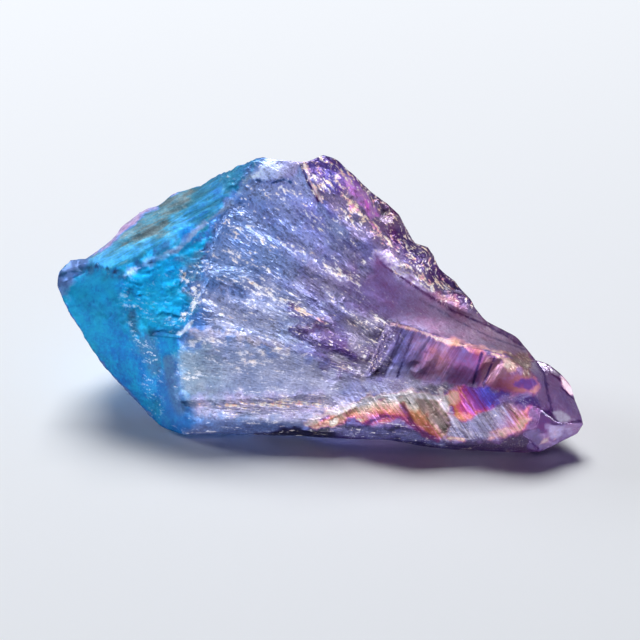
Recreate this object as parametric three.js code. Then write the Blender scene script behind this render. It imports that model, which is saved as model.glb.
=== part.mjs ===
// A single rough quartz point with a vapour-coated surface, broken from its cluster: a natural tip at +X,
// a fractured root at -X, one solid. Millimetres, +Z up. It lies on the small flat foot under it, and the
// origin is the middle of its bounding box at the height of that foot.
import * as THREE from "three";
import { ImprovedNoise } from "three/addons/math/ImprovedNoise.js";

// ---------------------------------------------------------------- driving dimensions, in millimetres
const EDGE = 0.74; // side of a triangle on the front
const FINE_EDGE = 0.52; // the same on facets that carry the finest ridges
const BACK_EDGE = 1.15; // the same on the back
const UNDER_EDGE = 1.6; // the same under the stone
const TURN_ROUNDS = 3; // passes that turn triangles to follow the relief
const SETTLING_ROUNDS = 4; // passes that even the triangles out once they are small enough
const ROUNDING_ROUNDS = 3; // passes that round off the borders between soft facets
const SPLIT_AT = 1.34; // a side is halved once it is this many times too long
const RELAX_SHARE = 0.5; // how far a free point moves towards the middle of its neighbours in one pass
const GRAIN_POLE = new THREE.Vector3(25, -9.6, 2.4); // every growth fibre runs to this point past the tip
const GRAIN_ARM = 25; // the fibres' pitch is true at this distance from the pole
const BORDER_RELIEF = 0.45; // share of a facet's relief that is left on its border
const BORDER_FADE = 0.8; // distance from the border at which the relief is full
const FLOOR_CLEARANCE = 0.06; // lowest that anything but the foot may reach
const COAT = { color: 0x6a6fb8, roughness: 0.25, metalness: 0.4 }; // violet blue titanium film, half metallic

// ---------------------------------------------------------------- the stone's corners
const CORNERS = {
  // the horn, the stone's far left end
  horn: [-21.0, 0.8, 9.3],
  horn_side: [-20.9, 1.6, 10.2],
  horn_top: [-20.0, 3.0, 10.4],
  horn_back: [-18.7, 3.8, 10.0],
  horn_front: [-18.9, 1.9, 9.9],
  // the rim of the broken root, up to the crown
  rim_1: [-17.6, 4.6, 10.2],
  rim_2: [-16.0, 5.6, 11.5],
  rim_3: [-13.8, 6.6, 12.9],
  rim_4: [-11.6, 7.2, 14.1],
  rim_5: [-9.6, 7.6, 14.6],
  rim_6: [-8.8, 7.5, 15.3],
  rim_7: [-7.0, 7.3, 16.1],
  knob: [-6.6, 7.1, 16.8],
  crown_back: [-4.6, 6.5, 17.8],
  saddle: [-1.4, 5.3, 18.0],
  crown_front: [0.3, 5.8, 18.4],
  // the lumpy ridge from the crown down to the tip
  ridge_1: [1.4, 5.7, 18.1],
  ridge_2: [2.1, 5.4, 17.4],
  ridge_3: [3.9, 4.9, 15.9],
  ridge_4: [5.4, 4.2, 15.1],
  ridge_5: [6.5, 3.4, 13.9],
  ridge_6: [7.6, 2.3, 12.4],
  ridge_7: [8.6, 2.0, 12.2],
  ridge_8: [9.5, 1.2, 10.7],
  ridge_9: [10.8, 0.5, 10.0],
  ridge_10: [11.9, -0.6, 8.9],
  ridge_11: [13.2, -1.6, 7.5],
  ridge_12: [15.6, -2.6, 6.7],
  brow: [16.5, -3.2, 5.8],
  nape: [17.1, -3.9, 5.3],
  // the natural tip
  roof_1: [18.0, -4.4, 5.3],
  roof_2: [19.0, -5.4, 5.0],
  roof_3: [19.8, -6.2, 4.4],
  roof_4: [20.1, -7.0, 3.5],
  roof_5: [20.6, -8.0, 2.7],
  tip: [20.7, -8.6, 2.3],
  eave_1: [17.8, -6.0, 5.1],
  eave_2: [18.6, -7.3, 4.7],
  eave_3: [19.9, -7.9, 3.4],
  cheek_left: [18.0, -8.7, 3.7],
  cheek_top: [19.4, -8.3, 3.4],
  cheek_low: [18.7, -9.2, 2.8],
  chin: [20.3, -8.4, 1.3],
  chin_low: [18.9, -8.8, 0.7],
  keel: [17.4, -9.5, 0.3],
  // the inner border of the lumpy ridge
  inner_1: [-1.1, 4.9, 17.4],
  inner_2: [0.0, 3.4, 15.3],
  inner_3: [2.0, 2.4, 14.0],
  inner_4: [4.1, 1.2, 12.6],
  inner_5: [6.7, -0.3, 10.6],
  inner_6: [9.4, -1.0, 9.3],
  // the crease between the root's slope and the front
  crease_1: [-15.7, -0.4, 10.9],
  crease_2: [-13.5, 1.4, 12.3],
  crease_3: [-9.9, 2.0, 13.3],
  crease_4: [-7.6, 3.6, 14.7],
  crease_5: [-5.6, 5.0, 16.8],
  // the flank and the blue corner of the front
  flank_top: [-19.9, -0.5, 7.4],
  flank_high: [-17.5, -2.4, 4.1],
  flank_low: [-13.6, -4.9, 0.7],
  hip: [-9.5, -2.8, 10.2],
  waist: [-10.9, -4.8, 7.9],
  window_top: [-13.4, -3.9, 7.6],
  window_low: [-12.8, -5.5, 3.1],
  ankle: [-11.1, -6.4, 3.0],
  shin_left: [-10.6, -7.3, 1.4],
  shin_right: [-5.6, -7.6, 1.5],
  // the cloudy facet
  cloud_top: [-5.5, -4.3, 7.9],
  cloud_right: [2.0, -5.6, 5.9],
  cloud_low: [0.8, -7.0, 4.1],
  // the bright lip over the scoop, and the scoop
  lip_1: [5.2, -3.4, 8.7],
  lip_2: [8.7, -4.6, 8.3],
  lip_3: [11.4, -5.6, 7.7],
  lip_4: [14.6, -6.0, 7.1],
  lip_5: [16.5, -7.0, 6.2],
  scoop_rim: [4.3, -4.9, 6.7],
  scoop_left: [3.5, -6.0, 5.0],
  scoop_mid: [7.1, -6.9, 5.2],
  scoop_right: [10.4, -7.4, 5.1],
  scoop_end: [12.4, -7.6, 5.2],
  amber_low: [14.1, -8.4, 4.6],
  amber_right: [16.8, -8.3, 5.0],
  // the ledges under the scoop
  ledge_1: [2.0, -7.5, 2.7],
  ledge_2: [4.1, -7.9, 4.2],
  ledge_3: [7.1, -8.2, 4.9],
  ledge_4: [9.2, -8.4, 4.5],
  hem_1: [-0.6, -7.7, 1.6],
  hem_2: [2.5, -8.1, 2.5],
  hem_3: [4.1, -8.3, 2.1],
  hem_4: [6.3, -8.7, 3.0],
  hem_5: [8.3, -8.9, 1.6],
  hem_6: [9.2, -9.0, 1.2],
  hem_7: [14.1, -9.3, 1.6],
  hem_8: [16.6, -9.5, 2.9],
  fan_left: [10.6, -8.9, 2.8],
  fan_mid: [13.5, -9.1, 4.2],
  fan_end: [16.9, -9.2, 4.4],
  // the front's lowest line
  toe_1: [-12.6, -6.0, 0.3],
  toe_2: [-10.9, -7.0, 0.3],
  toe_3: [-6.3, -7.0, 0.3],
  toe_4: [-1.6, -7.3, 0.3],
  toe_5: [2.0, -8.3, 0.8],
  toe_6: [5.1, -8.6, 0.9],
  toe_7: [7.9, -8.7, 0.3],
  toe_8: [10.4, -9.0, 0.2],
  toe_9: [16.1, -9.3, 0.1],
  // the flat foot that it lies on
  foot_1: [-9.0, -4.8, 0],
  foot_2: [0.0, -5.4, 0],
  foot_3: [9.0, -7.4, 0],
  foot_4: [14.6, -7.8, 0],
  foot_5: [12.0, -3.6, 0],
  foot_6: [4.6, 3.8, 0],
  foot_7: [-6.4, 5.8, 0],
  foot_8: [-10.8, 0.4, 0],
  // the back
  heel_root: [-15.4, -0.8, 2.3],
  heel_left: [-14.0, 5.0, 1.9],
  heel_back: [-8.0, 8.0, 1.4],
  heel_mid: [1.0, 7.4, 1.2],
  heel_right: [9.0, 2.6, 1.0],
  heel_tip: [16.4, -5.4, 0.9],
  back_root: [-19.8, 4.6, 6.8],
  back_left: [-13.0, 9.0, 7.0],
  back_mid: [-5.6, 9.8, 8.6],
  back_right: [2.6, 8.2, 8.8],
  back_low: [8.4, 5.2, 5.8],
  back_waist: [13.4, 0.6, 3.8],
  back_tip: [18.4, -4.6, 2.7],
};

// ---------------------------------------------------------------- how each surface is broken or grown
const OCTAVE_SHIFT = 7.3; // each finer octave of the noise is read this far off the last
const OCTAVE_SCALE = 2.03; // how much finer each octave is
const OCTAVE_WEIGHT = 0.5; // how much weaker each octave is
const CREST_STEEPNESS = 2.6; // how fast a crest falls off into its valleys
const CREST_MIDDLE = 0.6; // the height, from 0 to 1, at which a ridge neither stands out nor sinks in
const RISER_START = 0.62; // share of a step that is flat tread
const LINE_DRIFT = 0.12; // how much a growth line changes for each millimetre of its own height
const PIT_RIM = 0.55; // only crests above this are cut in as pits

const noise = new ImprovedNoise();

function cloud(point, { pitch, octaves = 2 }) {
  let sum = 0;
  let weight = 1;
  let total = 0;
  let scale = 1 / pitch;
  for (let octave = 0; octave < octaves; octave++) {
    sum += weight * noise.noise(point.x * scale, point.y * scale + octave * OCTAVE_SHIFT, point.z * scale);
    total += weight;
    weight *= OCTAVE_WEIGHT;
    scale *= OCTAVE_SCALE;
  }
  return sum / total;
}

// Sharp crests between rounded valleys, from 0 to 1.
function crests(point, pattern) {
  return 1 - Math.min(1, CREST_STEEPNESS * Math.abs(cloud(point, pattern)));
}

// The same place in fibre space: x runs along the fibres, y and z across them.
function alongGrain(point, stretch) {
  const arm = point.clone().sub(GRAIN_POLE);
  const reach = arm.length();
  arm.divideScalar(reach);
  return new THREE.Vector3(reach / stretch, arm.y * GRAIN_ARM, arm.z * GRAIN_ARM);
}

// Rises in flat treads with steep risers between them.
function treads(height, rise) {
  const step = Math.floor(height / rise);
  const part = height / rise - step;
  return rise * (step + THREE.MathUtils.smoothstep(part, RISER_START, 1));
}

// The kinds of relief. Each takes a point, its own sizes and its facet, and gives a height.
const PATTERNS = {
  ridges: (p, size) => size.height * (crests(alongGrain(p, size.stretch), size) - CREST_MIDDLE),
  steps: (p, size) => treads(size.height * cloud(alongGrain(p, size.stretch), size), size.rise),
  lines: (p, size, { lean }) =>
    size.height * (crests({ x: p.x + lean * p.z, y: 0, z: LINE_DRIFT * p.z }, size) - CREST_MIDDLE),
  pits: (p, size) => -size.height * Math.max(0, crests(p, size) - PIT_RIM),
  swell: (p, size) => size.height * cloud(p, size),
};

// What each finish is made of. height and pitch in millimetres. stretch: how much longer than wide.
const FINISHES = {
  flat: {},
  polished: { swell: { height: 0.1, pitch: 6 } },
  wavy: { swell: { height: 0.34, pitch: 4.2, octaves: 3 } },
  fibrous: { ridges: { height: 0.8, pitch: 2.7, stretch: 4.5 }, swell: { height: 0.5, pitch: 6.5 } },
  hackly: { ridges: { height: 1.1, pitch: 3.2, stretch: 1.8 }, swell: { height: 0.6, pitch: 2.7 } },
  stepped: {
    steps: { height: 2.2, pitch: 4.5, stretch: 3, rise: 0.34 },
    swell: { height: 0.22, pitch: 1.8 },
  },
  striated: { lines: { height: 0.5, pitch: 2.1 } },
  pitted: { pits: { height: 0.75, pitch: 2.6 }, swell: { height: 0.5, pitch: 3.2 } },
};

function reliefHeight(point, facet) {
  const patterns = Object.entries(FINISHES[facet.finish]);
  return patterns.reduce((sum, [name, size]) => sum + PATTERNS[name](point, size, facet), 0);
}

// ---------------------------------------------------------------- the facets
// corners: seen from outside, anticlockwise. dish: how far the middle stands out (+) or is hollowed (-).
// lean: how far its growth lines lean along X for each millimetre of height. edge: side of its triangles.
// soft: its borders with other soft facets are rounded off.
const FACETS = {
  horn_face: { finish: "polished", dish: 0.2, corners: ["horn_top", "horn_side", "horn", "horn_front"] },
  root_slope: {
    finish: "stepped",
    dish: 0.3,
    corners: [
      "horn_top", "horn_front", "crease_1", "crease_2", "crease_3", "crease_4", "crease_5", "crown_back",
      "knob", "rim_7", "rim_6", "rim_5", "rim_4", "rim_3", "rim_2", "rim_1", "horn_back",
    ],
  },
  blue_face: {
    finish: "polished",
    dish: 0.4,
    corners: [
      "horn_front", "horn", "flank_top", "flank_high", "flank_low", "window_low", "window_top", "crease_1",
    ],
  },
  blue_hem: {
    finish: "wavy",
    dish: 0.2,
    corners: ["flank_low", "toe_1", "toe_2", "shin_left", "ankle", "window_low"],
  },
  blue_hollow: {
    finish: "pitted",
    soft: true,
    dish: -0.5,
    edge: FINE_EDGE,
    corners: ["crease_1", "window_top", "waist", "hip", "crease_4", "crease_3", "crease_2"],
  },
  blue_window: { finish: "polished", dish: 0.1, corners: ["window_top", "window_low", "ankle", "waist"] },
  cloudy_facet: {
    finish: "wavy",
    soft: true,
    dish: 0.3,
    corners: ["waist", "ankle", "cloud_low", "cloud_right", "cloud_top"],
  },
  front_hem: {
    finish: "fibrous",
    soft: true,
    dish: 0.3,
    corners: ["ankle", "shin_left", "shin_right", "hem_1", "ledge_1", "cloud_low"],
  },
  fibrous_face: {
    finish: "fibrous",
    soft: true,
    dish: 0.5,
    edge: FINE_EDGE,
    corners: [
      "crease_5", "crease_4", "hip", "waist", "cloud_top", "cloud_right", "scoop_left", "scoop_rim", "lip_1",
      "inner_4", "inner_3", "inner_2", "inner_1", "saddle", "crown_back",
    ],
  },
  ridge_strip: {
    finish: "hackly",
    dish: 0.4,
    edge: FINE_EDGE,
    corners: [
      "saddle", "inner_1", "inner_2", "inner_3", "inner_4", "inner_5", "inner_6", "ridge_11", "ridge_10",
      "ridge_9", "ridge_8", "ridge_7", "ridge_6", "ridge_5", "ridge_4", "ridge_3", "ridge_2", "ridge_1",
      "crown_front",
    ],
  },
  smooth_band: {
    finish: "polished",
    soft: true,
    dish: -0.3,
    corners: [
      "inner_4", "lip_1", "lip_2", "lip_3", "lip_4", "lip_5", "nape", "brow", "ridge_12", "ridge_11",
      "inner_6", "inner_5",
    ],
  },
  scoop: {
    finish: "striated",
    lean: -0.75,
    dish: -1.0,
    edge: FINE_EDGE,
    corners: [
      "lip_1", "scoop_rim", "scoop_left", "scoop_mid", "scoop_right", "scoop_end", "lip_4", "lip_3", "lip_2",
    ],
  },
  amber_facet: {
    finish: "polished",
    dish: -0.3,
    corners: ["lip_4", "scoop_end", "amber_low", "amber_right", "lip_5"],
  },
  pale_band: {
    finish: "wavy",
    soft: true,
    dish: 0.1,
    corners: [
      "cloud_right", "cloud_low", "ledge_1", "ledge_2", "ledge_3", "ledge_4", "scoop_right", "scoop_mid",
      "scoop_left",
    ],
  },
  gold_ledge: {
    finish: "striated",
    lean: 0.58,
    dish: 0.3,
    edge: FINE_EDGE,
    corners: [
      "ledge_1", "hem_1", "hem_2", "hem_3", "hem_4", "hem_5", "hem_6", "fan_left", "ledge_4", "ledge_3",
      "ledge_2",
    ],
  },
  rainbow_fan: {
    finish: "striated",
    lean: 0.58,
    dish: 0.1,
    edge: FINE_EDGE,
    corners: ["ledge_4", "fan_left", "fan_mid", "amber_low", "scoop_end", "scoop_right"],
  },
  amber_foot: { finish: "polished", dish: 0.1, corners: ["amber_low", "fan_mid", "fan_end", "amber_right"] },
  striped_band: {
    finish: "striated",
    lean: 0.58,
    dish: 0.3,
    edge: FINE_EDGE,
    corners: ["fan_left", "hem_6", "hem_7", "hem_8", "fan_end", "fan_mid"],
  },
  front_underside: {
    finish: "wavy",
    dish: 0.2,
    corners: [
      "shin_left", "toe_2", "toe_3", "toe_4", "toe_5", "toe_6", "toe_7", "toe_8", "toe_9", "keel", "hem_8",
      "hem_7", "hem_6", "hem_5", "hem_4", "hem_3", "hem_2", "hem_1", "shin_right",
    ],
  },
  // the natural tip
  tip_roof: {
    finish: "polished",
    dish: 0,
    corners: ["nape", "eave_1", "eave_2", "eave_3", "tip", "roof_5", "roof_4", "roof_3", "roof_2", "roof_1"],
  },
  tip_front: {
    finish: "polished",
    dish: 0.1,
    corners: [
      "nape", "lip_5", "amber_right", "fan_end", "cheek_low", "cheek_left", "cheek_top", "tip", "eave_3",
      "eave_2", "eave_1",
    ],
  },
  tip_cheek: { finish: "flat", dish: 0, corners: ["cheek_left", "cheek_low", "tip", "cheek_top"] },
  tip_under: {
    finish: "polished",
    dish: 0,
    corners: ["fan_end", "hem_8", "keel", "chin_low", "chin", "tip", "cheek_low"],
  },
  tip_side: {
    finish: "polished",
    dish: 0,
    edge: BACK_EDGE,
    corners: ["roof_2", "roof_3", "roof_4", "roof_5", "tip", "chin", "back_tip"],
  },
  tip_chin: {
    finish: "polished",
    dish: 0,
    edge: BACK_EDGE,
    corners: ["back_tip", "chin", "chin_low", "keel", "foot_4", "heel_tip"],
  },
  // the back, with two natural faces and the rest of the break
  back_rim: {
    finish: "stepped",
    dish: 0.3,
    edge: BACK_EDGE,
    corners: ["horn_top", "horn_back", "rim_1", "rim_2", "rim_3", "back_left", "back_root"],
  },
  back_break: {
    finish: "hackly",
    dish: 0.4,
    edge: BACK_EDGE,
    corners: ["rim_3", "rim_4", "rim_5", "rim_6", "rim_7", "knob", "crown_back", "back_mid", "back_left"],
  },
  back_face: {
    finish: "polished",
    dish: 0.3,
    edge: BACK_EDGE,
    corners: [
      "crown_back", "saddle", "crown_front", "ridge_1", "ridge_2", "ridge_3", "ridge_4", "ridge_5",
      "back_low", "back_right", "back_mid",
    ],
  },
  back_tip_face: {
    finish: "polished",
    dish: 0.2,
    edge: BACK_EDGE,
    corners: [
      "ridge_5", "ridge_6", "ridge_7", "ridge_8", "ridge_9", "ridge_10", "ridge_11", "ridge_12", "brow",
      "nape", "roof_1", "roof_2", "back_tip", "back_waist", "back_low",
    ],
  },
  low_back_left: {
    finish: "hackly",
    dish: 0.2,
    edge: BACK_EDGE,
    corners: ["back_root", "back_left", "heel_back", "heel_left"],
  },
  low_back: {
    finish: "fibrous",
    dish: 0.4,
    edge: BACK_EDGE,
    corners: ["back_left", "back_mid", "back_right", "heel_mid", "heel_back"],
  },
  low_back_right: {
    finish: "wavy",
    dish: 0.2,
    edge: BACK_EDGE,
    corners: ["back_right", "back_low", "back_waist", "heel_right", "heel_mid"],
  },
  low_back_tip: {
    finish: "polished",
    dish: 0.1,
    edge: BACK_EDGE,
    corners: ["back_waist", "back_tip", "heel_tip", "heel_right"],
  },
  root_end: {
    finish: "pitted",
    dish: -0.5,
    edge: BACK_EDGE,
    corners: [
      "horn", "horn_side", "horn_top", "back_root", "heel_left", "heel_root", "flank_high", "flank_top",
    ],
  },
  // the underside
  under_root: {
    finish: "wavy",
    dish: 0.2,
    edge: UNDER_EDGE,
    corners: ["flank_high", "heel_root", "foot_8", "foot_1", "toe_2", "toe_1", "flank_low"],
  },
  under_left: {
    finish: "wavy",
    dish: 0,
    edge: UNDER_EDGE,
    corners: ["heel_root", "heel_left", "heel_back", "foot_7", "foot_8"],
  },
  under_back: {
    finish: "wavy",
    dish: 0,
    edge: UNDER_EDGE,
    corners: ["heel_back", "heel_mid", "foot_6", "foot_7"],
  },
  under_right: {
    finish: "wavy",
    dish: 0,
    edge: UNDER_EDGE,
    corners: ["heel_mid", "heel_right", "foot_5", "foot_6"],
  },
  under_tip: {
    finish: "wavy",
    dish: 0,
    edge: UNDER_EDGE,
    corners: ["heel_right", "heel_tip", "foot_4", "foot_5"],
  },
  under_front_left: {
    finish: "wavy",
    dish: 0,
    edge: UNDER_EDGE,
    corners: ["toe_2", "foot_1", "foot_2", "toe_4", "toe_3"],
  },
  under_front_mid: {
    finish: "wavy",
    dish: 0,
    edge: UNDER_EDGE,
    corners: ["toe_4", "foot_2", "foot_3", "toe_7", "toe_6", "toe_5"],
  },
  under_front_right: {
    finish: "flat",
    dish: 0,
    edge: UNDER_EDGE,
    corners: ["toe_7", "foot_3", "foot_4", "keel", "toe_9", "toe_8"],
  },
  foot: {
    finish: "flat",
    dish: 0,
    edge: UNDER_EDGE,
    corners: ["foot_8", "foot_7", "foot_6", "foot_5", "foot_4", "foot_3", "foot_2", "foot_1"],
  },
};

// ---------------------------------------------------------------- from facets to one closed mesh
// The mean normal of a loop of points, by Newell's sum.
function loopNormal(loop) {
  const normal = new THREE.Vector3();
  loop.forEach((here, i) => {
    const next = loop[(i + 1) % loop.length];
    normal.x += (here.y - next.y) * (here.z + next.z);
    normal.y += (here.z - next.z) * (here.x + next.x);
    normal.z += (here.x - next.x) * (here.y + next.y);
  });
  return normal.normalize();
}

// Cuts a facet into triangles in its own plane. Each triangle is three indexes into the loop.
function facetTriangles(loop) {
  const normal = loopNormal(loop);
  const across = new THREE.Vector3().subVectors(loop[1], loop[0]);
  across.addScaledVector(normal, -across.dot(normal)).normalize();
  const up = new THREE.Vector3().crossVectors(normal, across);
  const flat = loop.map((corner) => new THREE.Vector2(corner.dot(across), corner.dot(up)));
  return THREE.ShapeUtils.triangulateShape(flat, []);
}

const MOST_POINTS = 1e6; // more points than the mesh ever has
const edgeKey = (a, b) => (a < b ? a * MOST_POINTS + b : b * MOST_POINTS + a);

// Each edge with the one or two faces beside it.
function edgeMap(faces) {
  const edges = new Map();
  faces.forEach((face, index) => {
    face.v.forEach((a, i) => {
      const b = face.v[(i + 1) % 3];
      const key = edgeKey(a, b);
      if (!edges.has(key)) edges.set(key, { key, a, b, sides: [] });
      edges.get(key).sides.push(index);
    });
  });
  return edges;
}

// Halves the given edges, but never two of one face. Returns how many were halved.
function splitEdges({ points, faces }, edges) {
  const touched = new Set();
  let count = 0;
  for (const edge of edges) {
    if (edge.sides.some((side) => touched.has(side))) continue;
    const middle = points.length;
    points.push(points[edge.a].clone().lerp(points[edge.b], 0.5));
    for (const side of edge.sides) {
      const face = faces[side];
      const first = face.v.findIndex((v, i) => edgeKey(v, face.v[(i + 1) % 3]) === edge.key);
      const [p, q, r] = [0, 1, 2].map((i) => face.v[(first + i) % 3]);
      faces.push({ v: [middle, q, r], facet: face.facet });
      face.v = [p, middle, r];
      touched.add(side);
    }
    count++;
  }
  return count;
}

// The facets cut into triangles. Two facets may want the same diagonal, and the second one halves it.
function coarseMesh() {
  const names = Object.keys(CORNERS);
  const points = names.map((name) => new THREE.Vector3(...CORNERS[name]));
  const faces = [];
  const used = new Set();
  for (const [facet, { corners }] of Object.entries(FACETS)) {
    const indexes = corners.map((name) => names.indexOf(name));
    const triangles = facetTriangles(indexes.map((index) => points[index]));
    const own = triangles.map((triangle) => ({ v: triangle.map((i) => indexes[i]), facet }));
    const diagonals = [...edgeMap(own).values()].filter((edge) => edge.sides.length === 2);
    splitEdges(
      { points, faces: own },
      diagonals.filter((edge) => used.has(edge.key)),
    );
    for (const edge of diagonals) used.add(edge.key);
    faces.push(...own);
  }
  return { points, faces };
}

// Halves every side that is too long, the longest first. Returns how many were halved.
function splitLongEdges(mesh) {
  const { points, faces } = mesh;
  const wanted = (edge) => Math.min(...edge.sides.map((side) => FACETS[faces[side].facet].edge ?? EDGE));
  const long = [...edgeMap(faces).values()]
    .map((edge) => ({ ...edge, length: points[edge.a].distanceTo(points[edge.b]) }))
    .filter((edge) => edge.length > SPLIT_AT * wanted(edge))
    .sort((p, q) => q.length - p.length);
  return splitEdges(mesh, long);
}

const angleAt = (points, apex, a, b) =>
  new THREE.Vector3()
    .subVectors(points[a], points[apex])
    .angleTo(new THREE.Vector3().subVectors(points[b], points[apex]));

const faceNormal = (points, [a, b, c]) =>
  new THREE.Vector3()
    .subVectors(points[b], points[a])
    .cross(new THREE.Vector3().subVectors(points[c], points[a]));

const FULL_TURN_GAIN = 0.05; // radians that a turned side must gain
const SLIM_LIMIT = 2.2; // radians that the two angles facing a side may add up to after a turn for smoothness

const facingAngles = (points, a, b, c, d) => angleAt(points, c, a, b) + angleAt(points, d, a, b);

// Whether the two triangles on a-b are slimmer than those on c-d would be.
const fuller = (points, a, b, c, d) => facingAngles(points, a, b, c, d) > Math.PI + FULL_TURN_GAIN;

// Whether the surface would bend less over c-d than it does over a-b.
function smoother(points, a, b, c, d) {
  const bend = (p, q) => faceNormal(points, p).angleTo(faceNormal(points, q));
  const now = bend([a, b, c], [b, a, d]);
  const then = bend([c, a, d], [d, b, c]);
  return then < now - FULL_TURN_GAIN && facingAngles(points, c, d, a, b) < Math.PI + SLIM_LIMIT;
}

// Turns the side shared by two triangles of one facet wherever that is better.
function turnEdges({ points, faces }, isBetter) {
  const edges = edgeMap(faces);
  const touched = new Set();
  for (const edge of [...edges.values()]) {
    const [left, right] = edge.sides;
    if (faces[left].facet !== faces[right].facet || touched.has(left) || touched.has(right)) continue;
    const start = faces[left].v.findIndex((v, i) => edgeKey(v, faces[left].v[(i + 1) % 3]) === edge.key);
    const [a, b, c] = [0, 1, 2].map((i) => faces[left].v[(start + i) % 3]);
    const d = faces[right].v.find((v) => v !== a && v !== b);
    if (edges.has(edgeKey(c, d)) || !isBetter(points, a, b, c, d)) continue;
    const fresh = [
      [c, a, d],
      [d, b, c],
    ];
    const before = faceNormal(points, faces[left].v).add(faceNormal(points, faces[right].v));
    if (fresh.some((v) => faceNormal(points, v).dot(before) <= 0)) continue;
    faces[left].v = fresh[0];
    faces[right].v = fresh[1];
    edges.set(edgeKey(c, d), edge);
    touched.add(left).add(right);
  }
}

// For each point, the points beside it and the facets that it belongs to.
function surroundings({ points, faces }) {
  const around = points.map(() => ({ near: new Set(), facets: new Set() }));
  for (const { v, facet } of faces) {
    v.forEach((index, i) => {
      around[index].near.add(v[(i + 1) % 3]).add(v[(i + 2) % 3]);
      around[index].facets.add(facet);
    });
  }
  return around;
}

const insideOneFacet = (facets) => facets.size === 1;
const amongSoftFacets = (facets) => [...facets].every((facet) => FACETS[facet].soft);

// Moves each free point towards the middle of its neighbours.
function relax(mesh, isFree) {
  const around = surroundings(mesh);
  mesh.points = mesh.points.map((point, index) => {
    const { near, facets } = around[index];
    if (!isFree(facets)) return point;
    const middle = new THREE.Vector3();
    for (const other of near) middle.addScaledVector(mesh.points[other], 1 / near.size);
    return point.clone().lerp(middle, RELAX_SHARE);
  });
}

function refine(mesh) {
  while (splitLongEdges(mesh) > 0) {
    turnEdges(mesh, fuller);
    relax(mesh, insideOneFacet);
  }
  for (let round = 0; round < SETTLING_ROUNDS; round++) {
    turnEdges(mesh, fuller);
    relax(mesh, insideOneFacet);
  }
  for (let round = 0; round < ROUNDING_ROUNDS; round++) relax(mesh, amongSoftFacets);
}

// ---------------------------------------------------------------- relief
// How far each point inside a facet lies from the facet's border.
function borderDistances({ points }, around) {
  const border = new Map();
  around.forEach(({ facets }, index) => {
    if (facets.size < 2) return;
    for (const facet of facets) {
      if (!border.has(facet)) border.set(facet, []);
      border.get(facet).push(points[index]);
    }
  });
  return points.map((point, index) => {
    const { facets } = around[index];
    if (facets.size > 1) return 0;
    const [facet] = facets;
    return Math.min(...border.get(facet).map((edge) => edge.distanceTo(point)));
  });
}

function pointNormals({ points, faces }) {
  const normals = points.map(() => new THREE.Vector3());
  for (const { v } of faces) {
    const normal = faceNormal(points, v);
    for (const index of v) normals[index].add(normal);
  }
  return normals.map((normal) => normal.normalize());
}

function addRelief(mesh) {
  const around = surroundings(mesh);
  const distance = borderDistances(mesh, around);
  const normals = pointNormals(mesh);
  const deepest = {};
  around.forEach(({ facets }, index) => {
    for (const facet of facets) deepest[facet] = Math.max(deepest[facet] ?? 0, distance[index]);
  });
  mesh.points = mesh.points.map((point, index) => {
    const facets = [...around[index].facets];
    if (facets.includes("foot")) return point;
    const reliefs = facets.map((name) => reliefHeight(point, FACETS[name]));
    const relief = reliefs.reduce((sum, value) => sum + value, 0) / facets.length;
    const away = THREE.MathUtils.smoothstep(distance[index], 0, BORDER_FADE);
    const share = BORDER_RELIEF + (1 - BORDER_RELIEF) * away;
    const inside = facets.length === 1 ? distance[index] / deepest[facets[0]] : 0;
    const bowl = facets.length === 1 ? FACETS[facets[0]].dish * (1 - (1 - inside) ** 2) : 0;
    const moved = point.clone().addScaledVector(normals[index], relief * share + bowl);
    moved.z = Math.max(moved.z, FLOOR_CLEARANCE);
    return moved;
  });
}

// ---------------------------------------------------------------- the part
function stoneGeometry() {
  const mesh = coarseMesh();
  refine(mesh);
  addRelief(mesh);
  for (let round = 0; round < TURN_ROUNDS; round++) turnEdges(mesh, smoother);
  const geometry = new THREE.BufferGeometry().setFromPoints(mesh.points);
  geometry.setIndex(mesh.faces.flatMap((face) => face.v));
  geometry.computeBoundingBox();
  const middle = geometry.boundingBox.getCenter(new THREE.Vector3());
  geometry.translate(-middle.x, -middle.y, -geometry.boundingBox.min.z);
  geometry.computeVertexNormals();
  return geometry;
}

const stone = new THREE.Mesh(stoneGeometry(), new THREE.MeshStandardMaterial(COAT));
stone.name = "quartz_point";

const part = new THREE.Group();
part.name = "aura_quartz";
part.add(stone);

export default part;
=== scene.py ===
import math
from collections import namedtuple

import bmesh
import bpy
import numpy as np
from mathutils import Matrix, Vector, noise


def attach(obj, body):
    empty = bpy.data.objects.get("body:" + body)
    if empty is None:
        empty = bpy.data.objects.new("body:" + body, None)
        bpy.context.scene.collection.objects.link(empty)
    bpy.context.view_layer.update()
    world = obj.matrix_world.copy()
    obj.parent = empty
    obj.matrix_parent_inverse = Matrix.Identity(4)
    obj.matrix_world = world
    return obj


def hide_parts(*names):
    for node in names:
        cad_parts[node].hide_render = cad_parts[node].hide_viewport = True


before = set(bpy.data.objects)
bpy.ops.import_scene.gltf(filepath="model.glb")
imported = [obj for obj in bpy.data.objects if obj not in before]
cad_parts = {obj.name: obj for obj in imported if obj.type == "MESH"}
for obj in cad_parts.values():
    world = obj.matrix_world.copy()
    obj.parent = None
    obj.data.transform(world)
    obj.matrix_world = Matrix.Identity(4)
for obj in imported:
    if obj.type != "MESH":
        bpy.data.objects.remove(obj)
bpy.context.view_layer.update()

MM = 0.001  # the sizes below are in millimetres, and the scene is in metres

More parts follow.
